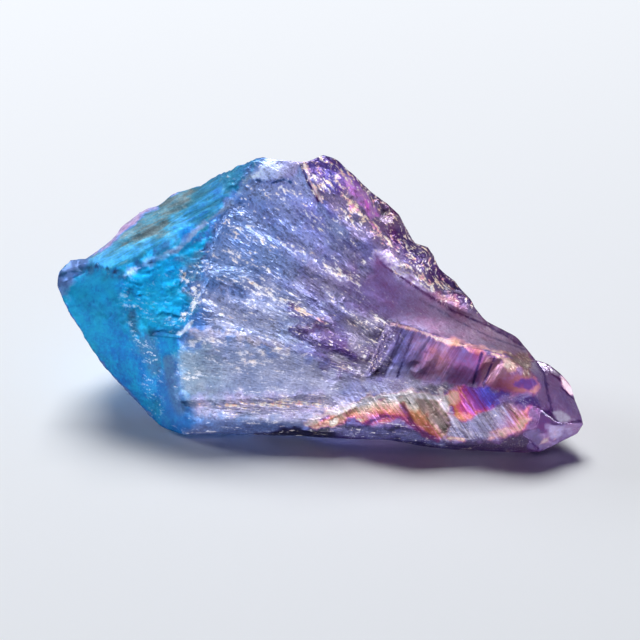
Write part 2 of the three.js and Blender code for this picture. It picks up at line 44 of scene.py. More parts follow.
# -------- sizes
SMOOTHING_LEVELS = 2  # subdivision of the solid's triangles, to about 0.15 mm on the front
CRISP_ANGLE = 38  # degrees of bend over which an edge of the solid stays sharp
SOFT_ANGLE = 18  # degrees of bend under which it is rounded off fully
SAME_POINT = 0.0001  # corners of the solid nearer to each other than this are merged
GRAIN_POLE = Vector((18.5, -11.0, 2.0))  # every growth fibre runs towards this point, past the tip
GRAIN_ARM = 25.0  # the fibres' pitch is true at this distance from the pole
GRAIN_STRETCH = 4.0  # how many times longer than wide a fibre is
STEP_LEAN = math.radians(27)  # the root slope's steps climb towards the crown at this angle in the chart
STEP_STRETCH = 7.0  # how many times longer than wide a step is
LINE_STRETCH = 14.0  # how slowly a growth line changes along its length
FLAT_FOOT = 0.25  # below this height the stone keeps the solid's flat foot
FOOT_FADE = 4.0  # and above this many times that height the relief is whole
SEED = 4.0  # of the noise in both node trees
CREST_FALL = 6.0  # how fast a sharp crest falls off beside its top

# Relief for the mesh. space: what the pattern follows. pitch, height: between its crests, and from its
# lowest to its highest. sharp: over 0 for crests with sharp tops. middle: the value that moves nothing.
# grows_by: the channel that says where it grows.
Relief = namedtuple("Relief", "space pitch height detail sharp middle grows_by")
RELIEF = {
    "Fibre": Relief("fibre_place", 0.46, 0.24, 2.5, 0.0, 0.5, "fibres"),
    "Step": Relief("step_place", 0.9, 0.14, 1.5, 1.5, 0.4, "steps"),
    "Lump": Relief("place", 1.5, 0.32, 1.5, 0.0, 0.5, "lumps"),
    "Pit": Relief("place", 0.75, 0.2, 1.0, 1.3, 0.3, "pits"),
    "Scoop Line": Relief("scoop_place", 0.4, 0.05, 2.0, 1.0, 0.4, "scoop_comb"),
    "Ledge Line": Relief("ledge_place", 0.4, 0.08, 2.0, 1.0, 0.4, "ledge_comb"),
    "Wave": Relief("place", 2.4, 0.06, 2.0, 0.0, 0.5, None),
}

# -------- the front's chart
# A place on the front is named by two lengths in a plane that leans back by FRONT_LEAN: one along X, and
# one up the slope. The outlines below are in that chart, in millimetres.
FRONT_LEAN = math.radians(32)
SCOOP_LEAN = 0.58  # how far the scoop's growth lines lean to +X for each millimetre up the chart
LEDGE_LEAN = -0.72  # and the ledges' lines, which lean to -X

# The channels: numbers painted on every point of the mesh.
# film: thickness of the coat, from 0 (thin, pale gold) over magenta, violet and blue to 1 (grey green).
# bare: share of pale uncoated quartz. shade: how bright it is, its own tone together with painted light
# and shade. matt: a duller, cloudier coat.
# sparkle: more or fewer bright flecks, partly painted glints. warm: their colour, from white to magenta.
# clear: see-through.
# fibres, steps, lumps, pits, combs: how strongly each kind of relief is grown there.
MARKED = ("film", "bare", "shade")  # what a mark changes
BUNDLED = ("sparkle", "warm", "fibres")  # what a bundle adds to
CHANNELS = MARKED + BUNDLED + ("matt", "clear", "steps", "lumps", "pits", "scoop_comb", "ledge_comb")
LINE_SPACES = ("step_place", "scoop_place", "ledge_place")

# Each zone lies over those before it. Its row gives its outline, over how many millimetres that fades
# (soft), film, bare and shade, and then every other channel that isn't 0 there. A pair is a change along
# the line `along`, or away from the line `edge` over the reach.
# Most of the zones' shades were fitted by a scratch program, draft by draft, and weren't picked by hand.
# A zone's shade holds its tone and painted light and shade: raised where the lamps leave a face dark,
# lowered where they light it strongly.
Zone = namedtuple(
    "Zone", ("outline", "soft") + CHANNELS + ("along", "edge", "reach"),
    defaults=[0] * (len(CHANNELS) - len(MARKED)) + [None] * 3,
)
GOLD_HEM = [(-0.7, -2.8), (0.9, -2.7), (2.7, -2.35), (3.8, -2.6), (5.0, -2.0), (6.4, -2.1), (7.2, -2.6),
            (8.2, -3.4), (9.4, -4.0)]
ZONES = {
    "blue ground": Zone(
        [(-22, 11), (-15, 11), (-9, 12.5), (-8.6, 8), (-9.6, 5.4), (-10.8, 4), (-11.6, 0), (-10, -3),
         (-6, -4), (-6, -6), (-14, -6), (-22, 4)],
        0.8, 0.83, 0, 0.33, matt=0.6, sparkle=-0.1, fibres=0.15,
    ),
    # Painted shade: the slope darkens from its foot to its top edge, where the softbox behind shines on it.
    "root slope": Zone(
        [(-21, 10.6), (-17.5, 11.8), (-13.5, 15.2), (-8.8, 18), (-4.3, 19.6), (-4.8, 17.6), (-7.4, 14.3),
         (-8.8, 12.4), (-13.4, 11), (-15.4, 9), (-18, 9.8)],
        0.5, (0.88, 1), (0.04, 0.22), (1.37, 0.42), along=((-12, 11.3), (-13.6, 14.6)), matt=1,
        sparkle=-0.12, fibres=0.2, steps=1, lumps=0.25,
    ),
    # Painted shade where the softbox behind shines on the slope's grey steps.
    "slope's grey steps": Zone(
        [(-16.6, 11.5), (-14, 12), (-11.8, 12.9), (-10.6, 14.2), (-10.4, 16), (-12, 16.2), (-14, 14.9),
         (-16.8, 12.8)],
        0.8, 1, 0.12, 0.51, matt=1, sparkle=-0.12, fibres=0.2, steps=1,
    ),
    "slope's blue end": Zone(
        [(-11.4, 13.2), (-9.6, 12.8), (-7, 14.8), (-7.4, 17), (-8.8, 18.3), (-10.8, 17), (-10.2, 15.2)],
        0.6, 0.87, 0.05, 0.65, matt=1, sparkle=-0.12, fibres=0.1, steps=1, lumps=0.3,
    ),
    "mauve brow": Zone(
        [(-17.8, 11), (-16.6, 12.8), (-13.5, 15.5), (-10.6, 17.3), (-10.8, 16.5), (-13.4, 14.5),
         (-15.8, 12.2)],
        0.35, 0.42, 0.5, 0.94, matt=1, sparkle=-0.12, fibres=0.2, steps=0.6,
    ),
    "crown": Zone(
        [(-8, 17), (-6.9, 18.8), (-5.5, 19.6), (-4.1, 19.3), (-4, 18.5), (-5, 17.9), (-5.3, 16.9),
         (-6.4, 15.6), (-7.5, 15.6)],
        0.3, 0.84, 0, 0.58, matt=0.7, sparkle=-0.1, fibres=0.3, lumps=0.6, pits=0.8,
    ),
    "blue face": Zone(
        [(-20.2, 9.2), (-18, 9.6), (-15.4, 8.9), (-15.1, 7.1), (-14.7, 4), (-13.3, 1.2), (-12.6, -1.8),
         (-11.8, -4.4), (-15.8, -3.4), (-22, 4)],
        0.35, (0.82, 0.89), -0.08, (0.58, 0.67), along=((-15, 4), (-20.5, 6.5)), matt=1, lumps=0.3,
        pits=0.3,
    ),
    # Painted light: the blue face's top is brightened where it turns away from the lamps.
    "blue brow": Zone([(-20, 9.3), (-15.3, 9.1), (-15.5, 7.7), (-20, 7.2)], 0.8, 0.88, 0, 0.93, matt=1),
    "horn": Zone(
        [(-22, 11.2), (-18.4, 10.9), (-18.4, 10.1), (-19.6, 8.8), (-20.6, 6.3), (-22, 7.1)],
        0.4, (0.72, 0.8), 0.2, 0.62, along=((-20, 10.3), (-20.4, 8.2)), matt=0.6, lumps=0.4,
    ),
    "hollow": Zone(
        [(-15.4, 9), (-13.4, 10.6), (-11, 11.6), (-8.4, 12.3), (-8.4, 10.3), (-8.9, 7.9), (-9.5, 5.8),
         (-10.5, 4.9), (-12.9, 4.7), (-14.1, 4.8), (-14.9, 6.3)],
        0.7, 0.87, 0, 1.24, matt=1, sparkle=-0.06, fibres=0.12, lumps=0.3, pits=0.6,
    ),
    "pit by the crease": Zone(
        [(-10.8, 12.9), (-9.4, 12.9), (-9.2, 11.9), (-10.6, 11.8)], 0.4, 0.8, 0, 1.21, matt=0.8, lumps=0.5,
    ),
    "hollow's pale side": Zone(
        [(-10.8, 10.4), (-8.5, 10.6), (-8.7, 6.4), (-10.2, 5.4), (-10.4, 8)],
        0.7, 0.83, 0.18, 0.67, matt=0.6, fibres=0.7, pits=0.5,
    ),
    "blue window": Zone(
        [(-12.9, 4.8), (-10.7, 4.8), (-10.9, 3.2), (-11.6, 1.4), (-12.3, 1), (-12.8, 3.2)],
        0.25, 0.83, -0.15, 0.62, matt=1,
    ),
    "blue hem": Zone(
        [(-13.3, 1.2), (-12.3, 1), (-11.3, -0.8), (-10.1, -2.2), (-6.2, -3.4), (-5, -4.6), (-11.5, -4.6),
         (-13.4, -2.4)],
        0.6, (0.84, 0.7), (-0.08, 0.05), (0.6, 0.4), along=((-12.4, -1.5), (-7.5, -3.6)), matt=0.7,
        sparkle=-0.1, fibres=0.2,
    ),
    "cloudy facet": Zone(
        [(-10.5, 4.1), (-8.1, 4.6), (-4.6, 3.8), (-0.7, 2.8), (2.6, 1.8), (2.6, -1.4), (-0.6, -3.2),
         (-5.4, -3.2), (-9.8, -2.4), (-11.3, 0.6)],
        1, (0.88, 0.62), (0.52, 0.62), (0.5, 0.61), along=((-10, 2), (-0.5, 0.4)), matt=0.6, sparkle=-0.02,
        fibres=0.45,
    ),
    "sparkling band": Zone(
        [(-9.8, -0.6), (-5.4, -0.5), (1.3, -0.2), (2.4, -0.9), (1.6, -1.9), (-0.5, -2.2), (-5.4, -2.1),
         (-9.4, -1.9)],
        0.7, 0.47, 0.6, 1.04, fibres=1, pits=0.3,
    ),
    "hem's shade": Zone(
        [(-9.6, -2.4), (-5.4, -2.5), (-1.2, -2.7), (-0.6, -4.6), (-11.5, -4.6)],
        0.4, 0.66, 0.22, 0.43, matt=0.4, sparkle=-0.06, fibres=0.5,
    ),
    # Painted shade on the blue corner, where its edge catches the lamps.
    "blue corner": Zone(
        [(-12.6, 1.8), (-11.3, 2.2), (-10.8, -0.4), (-10.1, -1.6), (-9.6, -2.7), (-12.6, -3.2)],
        0.45, 0.78, 0.03, 0.47, matt=1,
    ),
    "fibrous face": Zone(
        [(-5.4, 16.9), (-4.4, 18.6), (-1.2, 18.4), (0, 15.1), (2.1, 13.1), (4.4, 11.4), (5.3, 5.5),
         (4.2, 3), (2.9, 1.4), (-0.7, 2.7), (-4.6, 3.9), (-8.1, 4.7), (-9.6, 5.5), (-8.7, 10.1),
         (-7.4, 14.1)],
        0.6, (0.74, 0.44), (0.18, 0.38), (0.6, 0.84), along=((-6.5, 11.5), (4.5, 4.5)), sparkle=-0.06,
        fibres=1,
    ),
    "upper fibres": Zone(
        [(-8.4, 9.8), (-8, 13), (-5.4, 16.9), (-4.4, 18), (-1.2, 18), (0, 15.1), (1.2, 12.8), (0.4, 10.2),
         (-3, 9.6), (-6, 9.4)],
        1, (0.74, 0.6), 0.3, (0.87, 1.15), along=((-7.5, 12), (-0.5, 13.5)), sparkle=-0.08, fibres=1,
    ),
    "pale fibres": Zone(
        [(-1, 9.9), (2.5, 10.6), (5.5, 10.2), (6.5, 8.6), (6, 7.2), (3, 6), (0, 6.6), (-1.4, 8.2)],
        1.2, 0.5, 0.42, 0.91, sparkle=-0.03, fibres=1,
    ),
    "grey fibres": Zone(
        [(-8.8, 7.6), (-4, 8), (0.6, 6.6), (2.4, 4.6), (-2, 3.4), (-8.6, 4.4)],
        1.6, 0.68, 0.55, 0.95, sparkle=-0.03, fibres=1,
    ),
    "violet corner": Zone(
        [(2.2, 9.4), (6.4, 8.6), (6.6, 5.6), (3.4, 5.2)],
        1.2, 0.45, 0.2, 0.73, matt=0.3, sparkle=-0.06, fibres=0.7,
    ),
    "crown's pale end": Zone(
        [(-5.6, 16.7), (-5.4, 17.1), (-4.1, 18.5), (-3.4, 19.4), (-1.4, 19), (-1.6, 17.2), (-3.2, 16.8)],
        0.25, (0.86, 0.5), (0.65, 0.4), (1.64, 1.06), along=((-5, 17.6), (-1.8, 17.8)), matt=0.5,
        sparkle=-0.08, fibres=0.8, lumps=0.25,
    ),
    "violet fold": Zone(
        [(-2.2, 6.9), (0.2, 6), (4.8, 4.2), (4.2, 2.4), (1, 2), (-0.6, 4.4)],
        1, 0.46, 0.2, 0.66, sparkle=-0.02, fibres=1,
    ),
    "granular slope": Zone(
        [(2, 5.8), (3.8, 6), (6.2, 5.4), (5.8, 3.4), (5.4, 1), (3.2, 0.9), (3, 2.6), (2.2, 4.2)],
        0.4, 0.47, 0.5, 0.6, fibres=1,
    ),
    "ridge strip": Zone(
        [(-1.4, 18.4), (0.4, 20), (2.6, 19), (6.4, 16), (9.6, 12.4), (12.6, 8.3), (14.4, 5.2), (9.6, 7.4),
         (6.8, 9), (4.3, 11.4), (2.1, 13.2), (0, 15.2)],
        0.4, (0.46, 0.41), (0.3, 0.2), (0.72, 0.41), along=((2, 14), (4.6, 16.2)), sparkle=0.06, warm=0.1,
        fibres=1, lumps=0.8,
    ),
    "ridge's purple top": Zone(
        [(-0.9, 18.2), (0.4, 19.8), (2.6, 18.8), (3.6, 16.6), (1.8, 15.6), (0.3, 16.2)],
        0.4, 0.48, 0, 0.73, sparkle=0.14, warm=0.1, fibres=1, lumps=0.3,
    ),
    # Painted highlight: a bright patch of pale flecks on the ridge's flank.
    "white flank": Zone(
        [(3.9, 11.4), (5.3, 10.9), (6.9, 9.6), (8.6, 7.9), (9.7, 6.8), (9.2, 6.2), (6.9, 7.8), (4.4, 9.6)],
        0.5, 0.45, 0.65, 2.09, sparkle=0.22, warm=-0.1, fibres=1, lumps=0.5,
    ),
    "ridge's dark flank": Zone(
        [(5.6, 12.6), (7.6, 12.4), (9, 10.6), (11, 8.6), (12.4, 7), (11.6, 6.6), (10, 7.8), (8.6, 8.8),
         (7.2, 10.2), (5.8, 11.4)],
        0.5, 0.455, 0.05, 0.47, sparkle=0.08, warm=0.1, fibres=1, lumps=0.5,
    ),
    "low ridge": Zone(
        [(9, 7.5), (10.4, 7.6), (12, 5.9), (13.4, 4.9), (12.4, 4.6), (10.4, 5.4), (9, 6.3)],
        0.5, 0.2, 0.4, 0.64, sparkle=0.08, fibres=1, lumps=0.6,
    ),
    "smooth band": Zone(
        [(4.4, 11.2), (6.8, 8.8), (9.6, 7.2), (13.8, 5.4), (17.8, 2.9), (16.6, 1.5), (14.8, 2.9),
         (11.5, 3.6), (8.8, 4.6), (5.3, 5.6), (3.6, 8)],
        0.4, (0.44, 0.34), (0.17, 0.48), (0.87, 0.56), along=((5.4, 8), (14, 4.2)), matt=0.5, sparkle=-0.12,
        fibres=0.25,
    ),
    "scoop": Zone(
        [(5.2, 5.5), (8.8, 4.5), (11.5, 3.5), (14.4, 2.7), (12.7, 0.3), (10.5, 0.4), (7.2, 0.7), (4.6, 0.9),
         (4.9, 3.2)],
        0.2, (0.5, 0.36), (0.3, 0.1), (0.63, 0.59), along=((5, 2.6), (12.6, 1.8)), matt=1, scoop_comb=1,
    ),
    # Painted shade on the scoop's near wall, where it faces the lamps.
    "scoop's near wall": Zone(
        [(5.3, 1), (5.7, 3.2), (6.1, 5.3), (7.2, 5), (6.8, 1)], 0.3, 0.5, 0.22, 0.51, matt=1, scoop_comb=1,
    ),
    # Painted shade on the scoop's left end, where it faces the lamps.
    "scoop's left end": Zone(
        [(3.7, 1), (3.9, 3.2), (5.2, 5.5), (5.8, 5.4), (5.7, 3), (5.3, 1)],
        0.8, 0.47, 0.25, 0.45, matt=0.2, fibres=0.85, scoop_comb=1,
    ),
    "scoop's foot": Zone(
        [(5.4, 1.9), (10, 1.5), (10.2, 0.5), (5.2, 0.8)],
        0.5, (0.53, 0.42), (0.5, 0.3), (1.05, 0.81), along=((5, 1.6), (10, 1.3)), matt=1, scoop_comb=1,
    ),
    "scoop's brown middle": Zone(
        [(8.4, 3.9), (10.4, 3.5), (9.6, 1), (8, 1)], 0.9, 0.32, 0.35, 0.71, matt=1, scoop_comb=1,
    ),
    "brown end": Zone(
        [(13, 2.9), (14.6, 2.6), (15, 1), (14.2, -0.2), (12.7, 0.3), (12.6, 1.2)],
        0.3, 0.3, 0.3, 0.52, matt=0.3, scoop_comb=0.8,
    ),
    "amber facet": Zone(
        [(14.2, 1.1), (15.8, 1.3), (17.6, 1.2), (17.8, 0), (16.9, -0.7), (14.2, -0.6), (13.3, 0.3)],
        0.3, (0.29, 0.22), (0.1, 0.3), (0.33, 1.34), along=((14.2, 0.4), (17.4, 0.9)), matt=0.3,
    ),
    "beige corner": Zone(
        [(15, 3), (16.9, 2.7), (17.7, 1.3), (16.2, 1.1), (15.4, 1.8)],
        0.3, 0.2, 0.4, 0.32, sparkle=0.08, warm=0.1, fibres=0.8, lumps=0.5,
    ),
    "violet lens": Zone(
        [(15.2, 0.55), (16, 0.95), (16.9, 0.85), (17.3, 0.5), (16.5, 0.1), (15.7, 0.15)],
        0.1, 0.44, 0.05, 1.03,
    ),
    "pale band": Zone(
        [(1.9, -0.1), (3.7, 1), (7.2, 0.7), (10.5, 0.4), (9.5, -0.6), (7.2, -0.3), (4.2, -0.7),
         (2.1, -1.6)],
        0.4, (0.58, 0.48), (0.55, 0.45), (1.28, 0.28), along=((2, 0), (9, 0)), matt=0.5, sparkle=-0.03,
        fibres=0.5, ledge_comb=0.5,
    ),
    "gold ledge": Zone(
        [(-0.9, -2.9), (0.4, -2), (2.1, -1.5), (4.2, -0.6), (7.2, -0.2), (9.5, -0.6), (10.9, -2.4),
         (9.4, -4.1), (8.4, -3.4), (6.4, -2.3), (4.2, -2.8), (2.7, -2.4)],
        0.2, (0.33, 0.04), (0, 0.65), (0.99, 0.84), edge=GOLD_HEM, reach=1.5, sparkle=-0.04, fibres=0.5,
        ledge_comb=1,
    ),
    # Partly painted shade: the olive ledge is darkened, most towards its foot, where it faces the lamps.
    "ledge's olive part": Zone(
        [(7.6, -0.5), (9.1, -0.4), (9.8, -0.7), (10.6, -2.1), (10.9, -3.2), (9.8, -3.8), (9.2, -3.1),
         (8.3, -2.3), (7.7, -1.5)],
        0.3, (0.16, 0.21), (0.5, 0.2), (0.21, 0.02), along=((8.6, -0.8), (9.8, -3.2)), sparkle=-0.1,
        fibres=0.2, ledge_comb=1,
    ),
    "ledge's orange streak": Zone(
        [(7.3, -1.5), (7.9, -1.5), (9.5, -3.1), (9.5, -3.7), (8.9, -3.8), (7.9, -2.7), (7.2, -2.1)],
        0.25, 0.21, 0, 0.41, fibres=0.3, ledge_comb=1,
    ),
    "rainbow fan": Zone(
        [(9.8, -0.5), (10.6, 0.05), (11.8, 0.3), (12.9, 0.2), (14.4, -0.6), (13.9, -1.4), (12.3, -2.4),
         (11.2, -2.5)],
        0.2, (0.18, 0.56), (-0.1, -0.3), (0.67, 1.42), along=((10.4, -1.4), (13.07, 0.34)), sparkle=-0.1,
        fibres=0.2, ledge_comb=1,
    ),
    "fan's orange start": Zone(
        [(9.5, -0.6), (10.4, -0.1), (11, 0.15), (10.9, -1), (10.2, -1.5)],
        0.45, 0.15, 0.35, 0.79, sparkle=-0.1, fibres=0.2, ledge_comb=1,
    ),
    "fan's blue end": Zone(
        [(12.7, 0.2), (13.7, 0.2), (15.2, 0), (15.3, -0.4), (14.4, -1), (13.7, -1.2), (13, -0.7)],
        0.3, (0.53, 0.47), 0, (1.09, 0.63), along=((13.2, 0), (15.2, -0.3)), sparkle=-0.1, fibres=0.2,
        ledge_comb=0.3,
    ),
    "fan's orange hem": Zone(
        [(10.5, -1.9), (11.3, -2.5), (12.3, -2.6), (14, -1.5), (13.8, -1.1), (12.3, -1.9), (11.4, -1.6)],
        0.3, 0.2, 0.1, 1.02, fibres=0.6, ledge_comb=1,
    ),
    "striped band": Zone(
        [(10.5, -2.4), (11.6, -2.5), (13.7, -1.3), (15.8, -0.6), (17.2, -1), (17.5, -2.1), (16.6, -2.9),
         (14.3, -3.8), (9.7, -4)],
        0.2, (0.5, 0.14), (0.5, 0.1), (0.54, 1.52), along=((13.8, -1.6), (16.8, -2.5)), fibres=0.6,
        ledge_comb=1,
    ),
    "band's violet brow": Zone(
        [(14.6, -0.7), (16, -0.2), (17.6, -0.7), (17.4, -1.3), (16, -1.2)],
        0.35, 0.47, 0, 0.57, sparkle=-0.05, fibres=0.4,
    ),
    "band's magenta end": Zone(
        [(16.5, -1.3), (17.6, -1.3), (17.5, -2.6), (16.4, -3.2), (16.1, -2.7)],
        0.25, 0.41, 0, 0.39, fibres=0.2,
    ),
    # Painted shade: the underside is nearly black, as the shade under the stone.
    "underside strip": Zone(
        [(-1.4, -3), (2.7, -2.55), (4.2, -3), (6.4, -2.5), (8.4, -3.7), (9.6, -4.15), (14.3, -3.95),
         (16.6, -3), (17.4, -3.4), (17.9, -6.5), (8, -6.5), (-6, -5.5), (-5, -3.4)],
        0.25, (0.55, 0.45), (0.12, -0.08), (0.05, 0.16), along=((1, -3.6), (15, -4.4)), sparkle=-0.08,
        fibres=0.5,
    ),
    "chips under the hem": Zone(
        [(1, -3), (4.2, -3.2), (6.6, -3), (9.6, -4.3), (6.4, -4), (2.2, -3.8)],
        0.4, 0.55, 0.25, 0.36, sparkle=-0.05, fibres=0.8,
    ),
    "tip": Zone(
        [(17.2, 3.2), (18.3, 2.9), (20.4, 1.4), (21.6, -2.3), (20.8, -4.4), (17.6, -5.9), (16.5, -3.4),
         (17.5, -2.1), (17.3, -0.6), (17.2, 1), (16.5, 1.6)],
        0.3, 0.42, 0.22, 0.85, clear=0.8, sparkle=-0.15, fibres=0.15,
    ),
    # Painted shade on the tip's brow, where its edge would catch a highlight.
    "tip's brow": Zone(
        [(17, -1.2), (18.3, -1.3), (18.6, -2.6), (19, -3.2), (17, -3.6)], 0.3, 0.42, 0, 0.56, clear=0.8,
    ),
    "tip's lilac front": Zone(
        [(17.9, -2.9), (19.2, -2.7), (19.7, -3.2), (18.8, -4), (18.1, -3.7)],
        0.35, 0.46, 0.45, 1.15, clear=0.5,
    ),
    "tip's dark foot": Zone(
        [(16.6, -3.1), (17.5, -3.2), (18, -4.1), (17.7, -5.2), (16.8, -4.4)],
        0.35, 0.47, 0.2, 0.5, clear=0.5,
    ),
    # Painted light: a pale window on the tip, painted far brighter than its lamps light it.
    "roof window": Zone(
        [(19.2, 1), (19.7, 0.8), (20.3, -0.1), (20.4, -0.7), (19.9, -0.4), (19.3, 0.3)],
        0.1, 0.2, 0.75, 2.56, clear=0.4,
    ),
    "small roof window": Zone(
        [(18.1, 2), (18.7, 1.8), (19.1, 1.3), (18.6, 1.3)], 0.1, 0.4, 0.6, 0.9, clear=0.6,
    ),
    "cheek window": Zone(
        [(18.3, -1.6), (19.5, -1.7), (20.2, -2.4), (18.8, -2.5)], 0.1, 0.42, 0.75, 0.93, clear=0.5,
    ),
}

